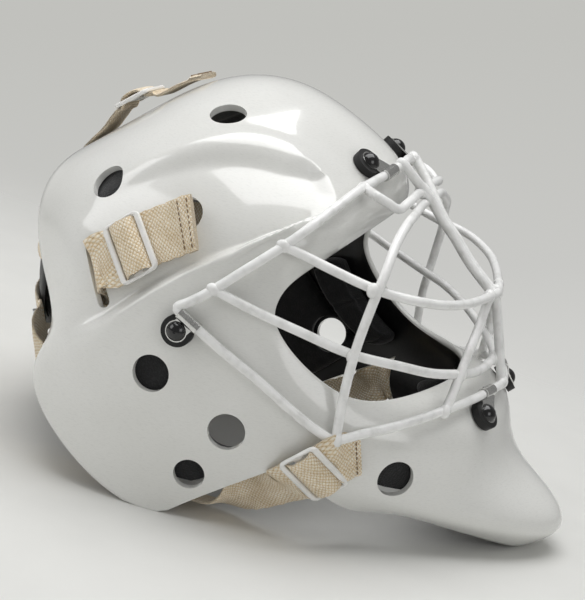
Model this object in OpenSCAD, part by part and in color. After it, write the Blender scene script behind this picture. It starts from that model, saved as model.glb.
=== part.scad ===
// Hockey goalie mask: a moulded shell with a bolted wire cage, a foam liner, and a padded
// backplate held by five elastic straps. Millimetres. +X is the way the face looks, +Y the
// wearer's left, +Z up. The mask stands on its chin and its two jaw flaps at Z = 0.

/* [Shell] */
// Length from the back of the rear band to the toe of the chin
mask_length = 310; // [290:1:340]
// Width across the jaw flaps
mask_width = 238; // [220:1:260]
// Height from the table to the crown
mask_height = 208; // [195:1:225]
// Thickness of the moulded shell
wall = 3.6; // [3:0.1:4.5]
// Depth of the hollow moulded into each temple
recess_depth = 4.5; // [0:0.5:6]
// Diameter of the crown and ear vents
vent_d = 18.5; // [12:0.5:20]
// Diameter of the three jaw vents on each side
jaw_vent_d = 18.5; // [12:0.5:20]
// Diameter of the vent on each side of the chin
chin_vent_d = 19; // [12:0.5:22]
// Width of the slot that a side strap comes out of
slot_w = 6.5; // [6:0.5:10]

/* [Cage] */
// Diameter of the cage's wire
wire_d = 4.8; // [4:0.2:5.6]
// Diameter of the two thick bars down the middle of the brow and the chin
middle_bar_d = 5.2; // [4.4:0.2:6]

/* [Cage fasteners] */
// Length of a clip along the wire
clip_w = 12; // [8:0.5:14]
// Thickness of the clip's steel
clip_t = 0.7; // [0.5:0.1:1]
// Diameter of the rubber washer under a clip
washer_d = 15.8; // [14:0.2:18]
// Thickness of the rubber washer
washer_t = 4.5; // [3.5:0.1:5]
// Diameter of the domed screw head
head_d = 9.8; // [8:0.2:10]
// Height of the domed screw head
head_h = 3.2; // [2.4:0.2:4]
// Diameter of the screw's shank
screw_d = 4; // [3:0.5:5]
// Diameter of the flanged nut inside the shell
nut_d = 12; // [10:0.5:14]

/* [Harness] */
// Width of the elastic straps
strap_w = 28; // [24:1:32]
// Thickness of the elastic
strap_t = 1.8; // [1.4:0.1:2.2]
// Length of a strap slider along its strap
slider_l = 21.5; // [20:0.5:26]
// Thickness of a slider
slider_t = 2.2; // [1.8:0.1:2.6]
// Width of a slider's end bars
slider_bar = 3; // [2.5:0.1:3.5]
// Width of the backplate
plate_w = 112; // [96:1:120]
// Height of the backplate
plate_h = 92; // [86:1:96]
// Thickness of the backplate
plate_t = 2.5; // [2:0.1:3.5]
// Diameter of a strap rivet's head
rivet_d = 9; // [7:0.5:11]

/* [Liner] */
// Thickness of the forehead and cheek pads
pad_t = 12; // [8:0.5:14]
// Thickness of the crown pad
crown_pad_t = 9; // [6:0.5:9]
// Thickness of the pad in each temple
temple_pad_t = 9; // [6:0.5:11]
// Thickness of the pad behind each side's jaw vents
jaw_pad_t = 6; // [4:0.5:7]
// Thickness of the chin pad
chin_pad_t = 14; // [10:0.5:18]
// Thickness of the backplate's pad
plate_pad_t = 11; // [8:0.5:14]
// Thickness of the sweatband
sweatband_t = 2.5; // [2:0.25:4]

/* [Hidden] */

// Clearances
seat = 0.3;
bore_gap = 0.1;
strap_gap = 0.35;

// The control points below are drawn for this size, and everything placed by them follows it
drawn_size = [310, 238, 208];
fx = mask_length / drawn_size[0];
fy = mask_width / drawn_size[1];
fz = mask_height / drawn_size[2];
function sized(p) = [p[0] * fx, p[1] * fy, p[2] * fz];
function flip(p) = [p[0], -p[1], p[2]];
function unit(v) = v / norm(v);
function square_to(v, n) = unit(v - (v * n) * n);

// The shell's outside: a cubic B-spline net. Each row of the list runs from the face opening's
// rim out to the shell's outer rim. The rows go round the right half of the face opening, from
// the middle of the brow (u = 0) to the middle of the chin (u = 12). The left half mirrors it.
net = [
    [[37, 0, 160], [37, 0, 172], [30, 0, 187], [6, 0, 201],
     [-35, 0, 215], [-77, 0, 206], [-109, 0, 176], [-131, 0, 154]],
    [[31, -34, 153], [32, -37, 163], [21, -39, 175], [-4, -40, 188],
     [-38, -42, 204], [-75, -43, 197], [-109, -42, 170], [-137, -36, 147]],
    [[23, -64, 145], [28, -71, 154], [20, -77, 166], [-6, -80, 180],
     [-43, -81, 188], [-81, -77, 176], [-115, -69, 151], [-142, -55, 133]],
    [[16, -87, 137], [17, -97, 146], [6, -103, 156], [-19, -105, 161],
     [-54, -104, 158], [-91, -99, 144], [-120, -87, 126], [-137, -70, 113]],
    [[6, -103, 127], [0, -109, 133], [-15, -113, 137], [-39, -115, 136],
     [-67, -113, 128], [-95, -106, 115], [-114, -95, 103], [-124, -81, 93]],
    [[3, -108, 117], [-3, -112, 119], [-19, -116, 119], [-42, -118, 115],
     [-68, -117, 105], [-89, -111, 91], [-102, -101, 78], [-105, -92, 68]],
    [[4, -110, 107], [-3, -115, 104], [-21, -118, 97], [-43, -119, 88],
     [-67, -119, 76], [-90, -115, 63], [-108, -109, 52], [-118, -103, 47]],
    [[19, -105, 91], [12, -112, 85], [-3, -117, 76], [-21, -119, 64],
     [-41, -119, 51], [-61, -118, 37], [-76, -116, 25], [-86, -114, 16]],
    [[43, -96, 77], [38, -104, 68], [27, -110, 56], [14, -113, 43],
     [1, -115, 31], [-10, -116, 17], [-18, -117, 3], [-23, -118, -13]],
    [[59, -83, 76], [60, -90, 68], [59, -95, 57], [57, -97, 47],
     [56, -96, 38], [56, -92, 31], [57, -86, 26], [59, -80, 23]],
    [[72, -62, 79], [81, -66, 76], [92, -70, 66], [93, -72, 51],
     [94, -71, 37], [98, -68, 27], [102, -62, 19], [98, -54, 14]],
    [[83, -34, 82], [98, -38, 81], [112, -44, 71], [115, -45, 52],
     [121, -44, 38], [134, -41, 27], [144, -37, 15], [131, -29, 5]],
    [[89, 0, 83], [103, 0, 81], [116, 0, 72], [122, 0, 54],
     [134, 0, 41], [159, 0, 31], [175, 0, 14], [149, 0, -4]]
];
u_end = len(net) - 1;
v_end = len(net[0]) - 1;

// The flaps and the chin are parted by a notch in the rim: [u, the furthest v there]
notch = [[0, 7], [7.85, 7], [8.5, 2.5], [9.15, 7], [12, 7]];
notch_rows_from = 1.8;

// Folds u into the right half, where its second value says on which side it lies
function fold(u) = u < 0 ? [-u, -1] : u > u_end ? [2 * u_end - u, -1] : [u, 1];
function net_row(i) =
    let (f = fold(i))
    [for (p = net[f[0]]) sized([p[0], p[1] * f[1], p[2]])];
function weights(t) = [pow(1 - t, 3) / 6, (3 * pow(t, 3) - 6 * t * t + 4) / 6,
                       (-3 * pow(t, 3) + 3 * t * t + 3 * t + 1) / 6, pow(t, 3) / 6];

// One column of the net at any u, with the spline's end points made to reach the rims
function column(u) =
    let (i = min(floor(u), u_end - 1), w = weights(u - i),
         rows = [for (k = [-1:2]) net_row(i + k)],
         c = [for (j = [0:v_end])
              w[0] * rows[0][j] + w[1] * rows[1][j] + w[2] * rows[2][j] + w[3] * rows[3][j]])
    concat([2 * c[0] - c[1]], c, [2 * c[v_end] - c[v_end - 1]]);
function along(c, v) =
    let (k = max(0, min(floor(v), v_end - 1)), w = weights(v - k))
    w[0] * c[k] + w[1] * c[k + 1] + w[2] * c[k + 2] + w[3] * c[k + 3];
function smooth_point(u, v) = along(column(u), v);
function smooth_normal(u, v) =
    let (d = 0.02, p = smooth_point(u, v), a = smooth_point(u + d, v) - p,
         b = (v > 1 ? p - smooth_point(u, v - d) : smooth_point(u, v + d) - p))
    unit(cross(b, a));

// The temple's moulded hollow, between an upper and a lower ridge and behind a front arc
upper_ridge = [[1, 0.9], [2.5, 1.35], [3.1, 1.75], [4.3, 2.15], [5.2, 2.6], [7, 3.2]];
lower_ridge = [[1, 2.4], [2, 2.8], [2.15, 3.55], [2.35, 4.1], [2.75, 4.55], [3.25, 5],
               [3.85, 5.35], [4.45, 5.6], [7, 5.8]];
front_arc = [[1.3, 3.1], [1.7, 2.8], [1.8, 2.4], [2, 2.05], [2.4, 1.75], [2.95, 1.35],
             [3.4, 1.5], [4.1, 2], [5.6, 4.2]];
ridge_width = 0.45;
hollow_fade = [4, 5.8];
ridge_height = 1.4;
function ease(a, b, x) = let (t = max(0, min(1, (x - a) / (b - a)))) t * t * (3 - 2 * t);
function bump(x, w) = abs(x) < w ? pow(1 - pow(x / w, 2), 2) : 0;
function relief(u, v) =
    let (top = lookup(v, upper_ridge), low = lookup(v, lower_ridge), arc = lookup(u, front_arc),
         fade = 1 - ease(hollow_fade[0], hollow_fade[1], v),
         hollow = ease(top, top + ridge_width, u) * (1 - ease(low - ridge_width, low, u))
                  * ease(arc, arc + ridge_width, v) * fade,
         ridge = (bump(u - top, ridge_width) + bump(u - low - 0.1, ridge_width))
                 * ease(arc - 0.4, arc + 0.4, v) * fade)
    ridge_height * ridge - recess_depth * hollow;

// A point on the shell at (u, v), raised by h from its outside, and the way out of the shell
function shell_point(u, v, h = 0) =
    let (f = fold(u), p = smooth_point(f[0], v),
         q = p + (h + relief(f[0], v)) * smooth_normal(f[0], v))
    f[1] > 0 ? q : flip(q);
function shell_normal(u, v) =
    let (f = fold(u), n = smooth_normal(f[0], v))
    f[1] > 0 ? n : flip(n);

// Joins a grid of outer points and the same grid of inner points into one closed solid
module closed_sheet(outer, inner, round = false) {
    n = len(outer);
    m = len(outer[0]);
    last = round ? n - 1 : n - 2;
    points = concat([for (r = outer) each r], [for (r = inner) each r]);
    back = n * m;
    faces = concat(
        [for (i = [0:last], j = [0:m - 2]) let (a = i * m + j, b = (i + 1) % n * m + j)
         each [[a, b, b + 1], [a, b + 1, a + 1],
               [back + a, back + b + 1, back + b], [back + a, back + a + 1, back + b + 1]]],
        [for (i = [0:last]) let (a = i * m, b = (i + 1) % n * m)
         each [[a, back + a, back + b], [a, back + b, b],
               [a + m - 1, b + m - 1, back + b + m - 1],
               [a + m - 1, back + b + m - 1, back + a + m - 1]]],
        round ? [] : [for (j = [0:m - 2]) let (e = (n - 1) * m + j)
         each [[j, j + 1, back + j + 1], [j, back + j + 1, back + j],
               [e, back + e + 1, e + 1], [e, back + e, back + e + 1]]]);
    polyhedron(points, faces);
}

// Puts children at o, with their x along the given direction and their z along n
module placed(o, x, n) {
    y = cross(n, x);
    multmatrix([[x[0], y[0], n[0], o[0]], [x[1], y[1], n[1], o[1]], [x[2], y[2], n[2], o[2]],
                [0, 0, 0, 1]]) children();
}
module both_sides() {
    children();
    mirror([0, 1, 0]) children();
}

// Vents: [u, v, diameter]
crown_vents = [[1.5, 4.3, vent_d], [2.65, 5.35, vent_d], [3.35, 3.8, vent_d]];
jaw_vents = [[6.45, 3.65, jaw_vent_d], [7.55, 3.2, jaw_vent_d], [7.8, 5, jaw_vent_d - 3]];
chin_vents = [[9.55, 3.7, chin_vent_d]];
liner_hole_gap = 2;
vent_depth = 60;
module vent_hole(vent, extra = 0) {
    n = shell_normal(vent[0], vent[1]);
    o = shell_point(vent[0], vent[1]);
    placed(o, square_to([1, 0, 0], n), n)
        translate([0, 0, -vent_depth / 2]) cylinder(d = vent[2] + extra, h = vent_depth, $fn = 24);
}

// The slot for a side strap, in the frame of its middle
slot_uv = [4.4, 4.9];
slot_end_uv = [5, 4.62];
slot_len = strap_w + 8;
slot_n = shell_normal(slot_uv[0], slot_uv[1]);
slot_o = shell_point(slot_uv[0], slot_uv[1]);
slot_x = square_to(shell_point(slot_end_uv[0], slot_end_uv[1]) - slot_o, slot_n);
module strap_slot() {
    placed(slot_o, slot_x, slot_n)
        translate([-(slot_len - slot_w) / 2, 0, -12]) {
            translate([0, -slot_w / 2, 0]) cube([slot_len - slot_w, slot_w, 24]);
            cylinder(d = slot_w, h = 24, $fn = 32);
            translate([slot_len - slot_w, 0, 0]) cylinder(d = slot_w, h = 24, $fn = 32);
        }
}

// Where the cage's screws go through the shell, [u, v], and the clips' wires beside them
top_screw = [0.89, 2.2];
side_screw = [5.81, 2.84];
chin_screw = [11, 1.78];
screws = [top_screw, side_screw, chin_screw];
barrel_d = screw_d + 2.6;
module screw_hole(s) {
    n = shell_normal(s[0], s[1]);
    placed(shell_point(s[0], s[1]), square_to([1, 0, 0], n), n)
        translate([0, 0, -10]) cylinder(d = barrel_d + 2 * bore_gap, h = 20, $fn = 24);
}

// The shell's mesh lines: columns at these u, rows at these v
shell_u = concat([for (u = [0:0.375:7.5]) u], [7.7, 7.85, 8.02, 8.18, 8.34, 8.5, 8.66, 8.82, 8.98,
                 9.15, 9.35, 9.6], [for (u = [9.9:0.35:12]) u]);
shell_v = concat([0, 0.3, 0.6, 1, 1.4, 1.8], [for (v = [2.15:0.4:6.55]) v], [7]);
floor_cut = 60;
function row_v(u, v) =
    v <= notch_rows_from ? v
    : notch_rows_from + (v - notch_rows_from) * (lookup(u, notch) - notch_rows_from)
      / (v_end - notch_rows_from);
module shell_body() {
    half_out = [for (u = shell_u) [for (v = shell_v) shell_point(u, row_v(u, v))]];
    half_in = [for (u = shell_u) [for (v = shell_v) shell_point(u, row_v(u, v), -wall)]];
    n = len(shell_u);
    closed_sheet(concat(half_out, [for (i = [n - 2:-1:1]) [for (p = half_out[i]) flip(p)]]),
                 concat(half_in, [for (i = [n - 2:-1:1]) [for (p = half_in[i]) flip(p)]]),
                 round = true);
}
module shell() {
    color("white")
    difference() {
        shell_body();
        translate([-mask_length, -mask_width, -floor_cut])
            cube([2 * mask_length, 2 * mask_width, floor_cut]);
        both_sides() {
            for (vent = concat(crown_vents, jaw_vents, chin_vents)) vent_hole(vent);
            for (s = screws) screw_hole(s);
            strap_slot();
        }
    }
}

// Wires are swept along smooth curves through the points of their routes
wire_sides = 8;
curve_steps = 2;
function curve_point(a, b, c, d, t) =
    0.5 * (2 * b + (c - a) * t + (2 * a - 5 * b + 4 * c - d) * t * t
           + (3 * b - a - 3 * c + d) * t * t * t);
function curved(route, closed = false, steps = curve_steps) =
    let (n = len(route), last = closed ? n - 1 : n - 2)
    concat([for (i = [0:last], s = [0:steps - 1])
            let (a = closed ? route[(i + n - 1) % n] : i == 0 ? 2 * route[0] - route[1] : route[i - 1],
                 b = route[i], c = route[(i + 1) % n],
                 d = closed ? route[(i + 2) % n]
                     : i == n - 2 ? 2 * route[n - 1] - route[n - 2] : route[i + 2])
            curve_point(a, b, c, d, s / steps)],
           closed ? [] : [route[n - 1]]);
function tangents(p, closed) =
    let (n = len(p))
    [for (i = [0:n - 1])
     unit(p[closed ? (i + 1) % n : min(i + 1, n - 1)]
          - p[closed ? (i + n - 1) % n : max(i - 1, 0)])];
function carried(t, normal, i = 0) =
    i == len(t) ? [] :
    let (m = square_to(normal, t[i])) concat([m], carried(t, m, i + 1));
module wire(route, d, closed = false, steps = curve_steps) {
    p = curved(route, closed, steps);
    t = tangents(p, closed);
    normals = carried(t, cross(t[0], [0.3, 0.2, 1]));
    n = len(p);
    rings = [for (i = [0:n - 1], k = [0:wire_sides - 1])
             let (a = 360 * k / wire_sides, side = cross(t[i], normals[i]))
             p[i] + d / 2 * (cos(a) * normals[i] + sin(a) * side)];
    walls = [for (i = [0:closed ? n - 1 : n - 2], k = [0:wire_sides - 1])
             let (a = i * wire_sides, b = (i + 1) % n * wire_sides, l = (k + 1) % wire_sides)
             each [[a + k, b + k, b + l], [a + k, b + l, a + l]]];
    first = [for (k = [1:wire_sides - 2]) [0, k, k + 1]];
    end = (n - 1) * wire_sides;
    final = [for (k = [1:wire_sides - 2]) [end, end + k + 1, end + k]];
    polyhedron(rings, closed ? walls : concat(walls, first, final));
}

// Cage routes at the drawn size. Those named right run from the right side to the middle. The two
// crossbars and the arch sit a little higher on the wearer's left, as they do in the photograph,
// so their left halves have points of their own.
perimeter_right = [
    [32, 0, 183.5], [31.5, -11, 182], [30, -21, 180.3], [28.5, -29, 178.5], [26.5, -38, 176.5],
    [21.5, -63, 171.8], [17.5, -81, 166], [13.5, -93, 160.5], [9.5, -102, 155], [1, -108.5, 145],
    [-11, -116, 132.5], [-24.5, -120.5, 118.5], [-34, -122, 110], [-39.5, -122.5, 105.8],
    [-36.5, -122.8, 103], [-32.5, -122.8, 100.9], [-28.5, -122.7, 98.8], [-13, -121, 90.3],
    [6.5, -118, 80.5], [22.5, -113.5, 70.5], [38, -108.5, 62], [46.5, -105, 59.5],
    [57.5, -97.8, 64], [72, -85.3, 69.3], [89, -64.5, 76.5], [100, -44.5, 80.8], [103, -37, 81.9],
    [105, -30, 82.5], [107.5, -17, 82.3], [109, -7, 82]];
arch_right = [
    [46.5, -105, 58.5], [44.8, -103.5, 80], [45, -102.5, 104], [47, -101.5, 124.5],
    [48.9, -97.5, 141], [48.6, -82, 155], [49, -62, 162.5], [49.3, -50, 164.5], [48.5, -30, 166],
    [47, 0, 164]];
arch_left = [
    [48.5, 30, 165.5], [49, 50, 161], [49.5, 62, 156.5], [47.5, 80, 148], [46.5, 95.5, 135.5],
    [45.5, 100, 123], [44.5, 102, 108], [43.8, 102.5, 92], [44.8, 103.5, 76], [46.5, 105, 58.5]];
brow_right = [[22.8, -56, 172.5], [31, -64, 171.5], [36.8, -62, 169.3], [40.3, -59, 167.3],
              [42.7, -55, 167], [44, -48, 168.8], [45, -38, 170.5], [44.3, -26, 170.5],
              [43.5, 0, 169]];
upper_right = [[1, -108.5, 145], [12, -105.5, 142.3], [23, -103, 139.4], [42, -98, 134.8],
               [57.5, -94, 133], [71.5, -85.5, 132], [80, -71, 130.5], [87, -48, 129],
               [92, -22, 128.3], [94.8, 0, 128]];
upper_left = [[91.5, 22, 129.5], [86, 48, 131], [79, 70, 132.5], [68, 84, 135.5], [57, 91, 137.5],
              [45, 95, 138.5], [24, 101.5, 142.5], [13, 104, 146.5], [4.8, 105.7, 149.5]];
lower_right = [[-24.5, -120.5, 118.5], [-4.5, -117.5, 113.2], [18, -111, 107.8], [42.5, -99.5, 101],
               [65, -87, 98.5], [78.5, -71, 95], [88, -54, 93], [93.5, -42, 92],
               [97.5, -27, 91], [100.3, -11, 92], [101, 0, 93]];
lower_left = [[100, 11, 92.5], [97, 27, 92], [91.5, 42, 93.5], [85, 54, 95.5], [72, 71, 100.5],
              [57, 86.5, 104.5], [42, 96.5, 107], [18, 110, 112], [0, 116.5, 117],
              [-20.6, 119.2, 122.5]];
centre_right = [[33, -16, 182.5], [39.6, -12.3, 176.3], [45.8, -8.2, 170.4], [51.8, -4.4, 163.8],
                [58.2, -2.7, 156.8], [66.3, -2.5, 149.6], [77.2, -2.5, 138.8], [92.5, -2.5, 126.8]];
chin_right = [[92.5, -16, 127.5], [92.3, -29, 113.8], [91.8, -41, 104.3], [91.3, -50.5, 94],
              [90.5, -57, 83.3], [89.8, -64.5, 76.3]];
centre_chin = [[93.5, 0, 127], [97.5, 0, 116], [101.5, 0, 104], [105, 0, 93], [108.5, 0, 82.5]];

function across(half) =
    concat([for (p = half) sized(p)], [for (i = [len(half) - 2:-1:0]) flip(sized(half[i]))]);
function mirrored_loop(half) =
    concat([for (p = half) sized(p)], [for (i = [len(half) - 1:-1:1]) flip(sized(half[i]))]);
function sized_route(route) = [for (p = route) sized(p)];
function uneven(right, left) = sized_route(concat(right, left));
cage_white = "whitesmoke";
module cage_perimeter_wire() {
    color(cage_white) wire(mirrored_loop(perimeter_right), wire_d, true, 1);
}
module cage_brow_bar() { color(cage_white) wire(across(brow_right), wire_d); }
module cage_arch_bar() { color(cage_white) wire(uneven(arch_right, arch_left), wire_d); }
module cage_upper_crossbar() { color(cage_white) wire(uneven(upper_right, upper_left), wire_d); }
module cage_lower_crossbar() { color(cage_white) wire(uneven(lower_right, lower_left), wire_d); }
module cage_centre_bar_right() { color(cage_white) wire(sized_route(centre_right), middle_bar_d); }
module cage_centre_bar_left() { mirror([0, 1, 0]) cage_centre_bar_right(); }
module cage_chin_bar_right() { color(cage_white) wire(sized_route(chin_right), wire_d); }
module cage_chin_bar_left() { mirror([0, 1, 0]) cage_chin_bar_right(); }
module cage_centre_chin_bar() { color(cage_white) wire(sized_route(centre_chin), middle_bar_d); }

// A clip: a tube round the wire, and a flat leaf from it under the screw's head. The wire runs
// through the clip at point k of its route.
top_clip_at = 3;
side_clip_at = 15;
chin_clip_at = 27;
leaf_w = clip_w - 3;
leaf_d = head_d + 1;
clip_routes = sized_route(perimeter_right);
module along_wire(k) {
    t = unit(clip_routes[k + 1] - clip_routes[k - 1]);
    placed(clip_routes[k], square_to([0, 1, 0], t), t) children();
}
module clip(s, k) {
    n = shell_normal(s[0], s[1]);
    base = shell_point(s[0], s[1], washer_t);
    reach = (clip_routes[k] - base) - ((clip_routes[k] - base) * n) * n;
    difference() {
        union() {
            along_wire(k) translate([0, 0, -clip_w / 2])
                cylinder(d = wire_d + 2 * clip_t, h = clip_w, $fn = 32);
            placed(base, unit(reach), n) {
                cylinder(d = leaf_d, h = clip_t, $fn = 32);
                translate([0, -leaf_w / 2, 0]) cube([norm(reach), leaf_w, clip_t]);
            }
        }
        along_wire(k) translate([0, 0, -clip_w])
            cylinder(d = wire_d + 2 * bore_gap, h = 2 * clip_w, $fn = 32);
        placed(base, unit(reach), n) translate([0, 0, -clip_w / 2])
            cylinder(d = screw_d + 2 * bore_gap, h = clip_w, $fn = 32);
    }
}
module top_clips() { color("silver") both_sides() clip(top_screw, top_clip_at); }
module side_clips() { color("silver") both_sides() clip(side_screw, side_clip_at); }
module chin_clips() { color("silver") both_sides() clip(chin_screw, chin_clip_at); }

// Places children at a screw, with z out of the shell from its outside
module at_screw(s) {
    n = shell_normal(s[0], s[1]);
    placed(shell_point(s[0], s[1]), square_to([1, 0, 0], n), n) children();
}
module at_screws() { both_sides() for (s = screws) at_screw(s) children(); }

// A washer has a channel in its edge for its clip's tube
module washer(s, k) {
    difference() {
        at_screw(s) translate([0, 0, seat])
            cylinder(d = washer_d, h = washer_t - seat - 0.05, $fn = 32);
        at_screw(s) translate([0, 0, -1])
            cylinder(d = barrel_d + 2 * bore_gap, h = washer_t + 2, $fn = 24);
        along_wire(k) translate([0, 0, -washer_d])
            cylinder(d = wire_d + 2 * clip_t + 2 * seat, h = 2 * washer_d, $fn = 24);
    }
}
module clip_washers() {
    color("black") both_sides() {
        washer(top_screw, top_clip_at);
        washer(side_screw, side_clip_at);
        washer(chin_screw, chin_clip_at);
    }
}
nut_flange_t = 1.5;
nut_drop = wall + 1.4;
shank_out = 0.8;
nut_reach = nut_drop + nut_flange_t + shank_out;
module clip_screws() {
    color("black") at_screws() union() {
        translate([0, 0, -nut_reach])
            cylinder(d = screw_d, h = nut_reach + washer_t + clip_t + 0.5, $fn = 24);
        translate([0, 0, washer_t + clip_t + 0.05]) rotate_extrude($fn = 24)
            intersection() {
                square([head_d, head_h]);
                translate([0, head_h - dome_r]) circle(r = dome_r, $fn = 32);
            }
    }
}
dome_r = (head_d * head_d / 4 + head_h * head_h) / (2 * head_h);
module flanged_nuts() {
    color("silver") at_screws() difference() {
        union() {
            translate([0, 0, -nut_drop - nut_flange_t])
                cylinder(d = nut_d, h = nut_flange_t, $fn = 24);
            translate([0, 0, -nut_drop - nut_flange_t])
                cylinder(d = barrel_d, h = nut_drop + nut_flange_t, $fn = 24);
        }
        translate([0, 0, -nut_reach - 1])
            cylinder(d = screw_d + 2 * bore_gap, h = nut_reach + 2, $fn = 24);
    }
}

// Foam pads follow the shell's inside, from u0 to u1 and v0 to v1, and are crowned. A level pad
// spans the hollow of the temple.
pad_steps = [8, 8];
glue_gap = 0.85;
pad_edge = 0.35;
function crown(s, t) = pad_edge + (1 - pad_edge) * (1 - pow(abs(s), 4)) * (1 - pow(abs(t), 4));
function pad_point(u, v, h, level) =
    level ? smooth_point(u, v) + (h - recess_depth) * smooth_normal(u, v) : shell_point(u, v, h);
module pad(u0, u1, v0, v1, thick, depth = 0, steps = pad_steps, level = false) {
    back = wall + glue_gap + depth;
    grid = [for (i = [0:steps[0]]) [for (j = [0:steps[1]])
            [u0 + (u1 - u0) * i / steps[0], v0 + (v1 - v0) * j / steps[1],
             crown(2 * i / steps[0] - 1, 2 * j / steps[1] - 1)]]];
    closed_sheet([for (r = grid) [for (g = r) pad_point(g[0], g[1], -back, level)]],
                 [for (r = grid) [for (g = r) pad_point(g[0], g[1], -back - thick * g[2], level)]]);
}
module forehead_pad() { color("dimgray") pad(-1.55, 1.55, 2.75, 3.75, pad_t, 0, [12, 5]); }
module sweatband() { color("black") pad(-1.35, 1.35, 2.85, 3.6, sweatband_t, pad_t + seat, [12, 4]); }
module crown_pad() { color("dimgray") pad(-3, 3, 4.95, 6, crown_pad_t, 0, [24, 6]); }
module temple_pad_right() {
    color("dimgray") difference() {
        pad(2.3, 4.6, 1.6, 4.4, temple_pad_t, level = true);
        vent_hole(crown_vents[2], liner_hole_gap);
    }
}
module temple_pad_left() { mirror([0, 1, 0]) temple_pad_right(); }
module cheek_pad_right() { color("dimgray") pad(6.05, 8.2, 1.3, 2.45, pad_t); }
module cheek_pad_left() { mirror([0, 1, 0]) cheek_pad_right(); }
// The jaw pad keeps clear of the middle jaw vent and of the side screw's nut
module jaw_pad_right() {
    color("dimgray") difference() {
        pad(6, 8, 2.6, 5.55, jaw_pad_t, 0, [10, 8]);
        vent_hole(jaw_vents[1], liner_hole_gap);
        at_screw(side_screw) translate([0, 0, -4 * wall]) cylinder(d = nut_d + 3, h = 4 * wall);
    }
}
module jaw_pad_left() { mirror([0, 1, 0]) jaw_pad_right(); }
module chin_pad() { color("dimgray") pad(9.15, 14.85, 2.65, 4.55, chin_pad_t, 0, [20, 6]); }

// The backplate: a bowed plate with rounded corners. s and t run from -1 to 1 across and up it.
plate_x = -150.8;
plate_z = 92;
plate_bow_y = 85;
plate_bow_z = 90;
corner = 0.4;
function plate_point(y, z, h) =
    [plate_x * fx + y * y / (2 * plate_bow_y) + pow(z, 2) / (2 * plate_bow_z) - h, y,
     plate_z * fz + z];
function plate_outline(s, t, w, tall) =
    [w / 2 * s * sqrt(1 - corner * t * t), tall / 2 * t * sqrt(1 - corner * s * s)];
module bowed_plate(w, tall, inside, thick, crowned) {
    n = 8;
    grid = [for (i = [0:n]) [for (j = [0:n])
            let (s = 2 * i / n - 1, t = 2 * j / n - 1, q = plate_outline(s, t, w, tall))
            [q[0], q[1], crowned ? crown(s, t) : 1]]];
    closed_sheet([for (r = grid) [for (g = r) plate_point(g[0], g[1], -inside)]],
                 [for (r = grid) [for (g = r) plate_point(g[0], g[1], -inside - thick * g[2])]]);
}
function plate_normal(y, z) = unit([-1, y / plate_bow_y, z / plate_bow_z]);

// Ribbons: elastic straps as stations [middle, the way across the width, share of the width]
function share(s) = is_undef(s[2]) ? 1 : s[2];
module ribbon(stations, w, t) {
    p = [for (s = stations) s[0]];
    tan = tangents(p, false);
    n = len(p);
    side = [for (i = [0:n - 1]) square_to(stations[i][1], tan[i])];
    up = [for (i = [0:n - 1]) t / 2 * cross(tan[i], side[i])];
    reach = [for (i = [0:n - 1]) w / 2 * share(stations[i]) * side[i]];
    closed_sheet([for (i = [0:n - 1]) [p[i] - reach[i] - up[i], p[i] + reach[i] - up[i]]],
                 [for (i = [0:n - 1]) [p[i] - reach[i] + up[i], p[i] + reach[i] + up[i]]]);
}
function eased_stations(stations, steps = 4) =
    let (p = curved([for (s = stations) s[0]], false, steps),
         a = curved([for (s = stations) s[1]], false, steps),
         k = curved([for (s = stations) share(s)], false, steps))
    [for (i = [0:len(p) - 1]) [p[i], a[i], k[i]]];

// A slider's frame is [middle, along its strap, across its strap]. The strap goes under the end
// bars and over the middle bar.
slider_w = strap_w + 4;
slider_round = 3;
window_w = strap_w + 2 * strap_gap;
middle_bar = 5;
weave_h = slider_t / 2 + strap_gap + strap_t / 2;
weave_in = slider_l / 2 - slider_bar - 0.5;
weave_mid = middle_bar / 2 + 0.4;
weave_out = slider_l / 2 + 1;
function slider_normal(f) = unit(cross(f[1], f[2]));
function woven(f) =
    [for (q = [[-weave_out, -1], [-weave_in, -1], [-weave_mid, 1],
               [weave_mid, 1], [weave_in, -1], [weave_out, -1]])
     [f[0] + q[0] * f[1] + q[1] * weave_h * slider_normal(f), f[2]]];
module slider(f) {
    window_l = (slider_l - 2 * slider_bar - middle_bar) / 2;
    color("white") placed(f[0], f[1], slider_normal(f))
        translate([-slider_l / 2, -slider_w / 2, -slider_t / 2]) difference() {
            union() {
                translate([slider_round, 0, 0])
                    cube([slider_l - 2 * slider_round, slider_w, slider_t]);
                translate([0, slider_round, 0])
                    cube([slider_l, slider_w - 2 * slider_round, slider_t]);
                for (x = [slider_round, slider_l - slider_round],
                     y = [slider_round, slider_w - slider_round])
                    translate([x, y, 0]) cylinder(r = slider_round, h = slider_t, $fn = 24);
            }
            for (x = [slider_bar, slider_l - slider_bar - window_l])
                translate([x, (slider_w - window_w) / 2, -1]) cube([window_l, window_w, slider_t + 2]);
        }
}

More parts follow.
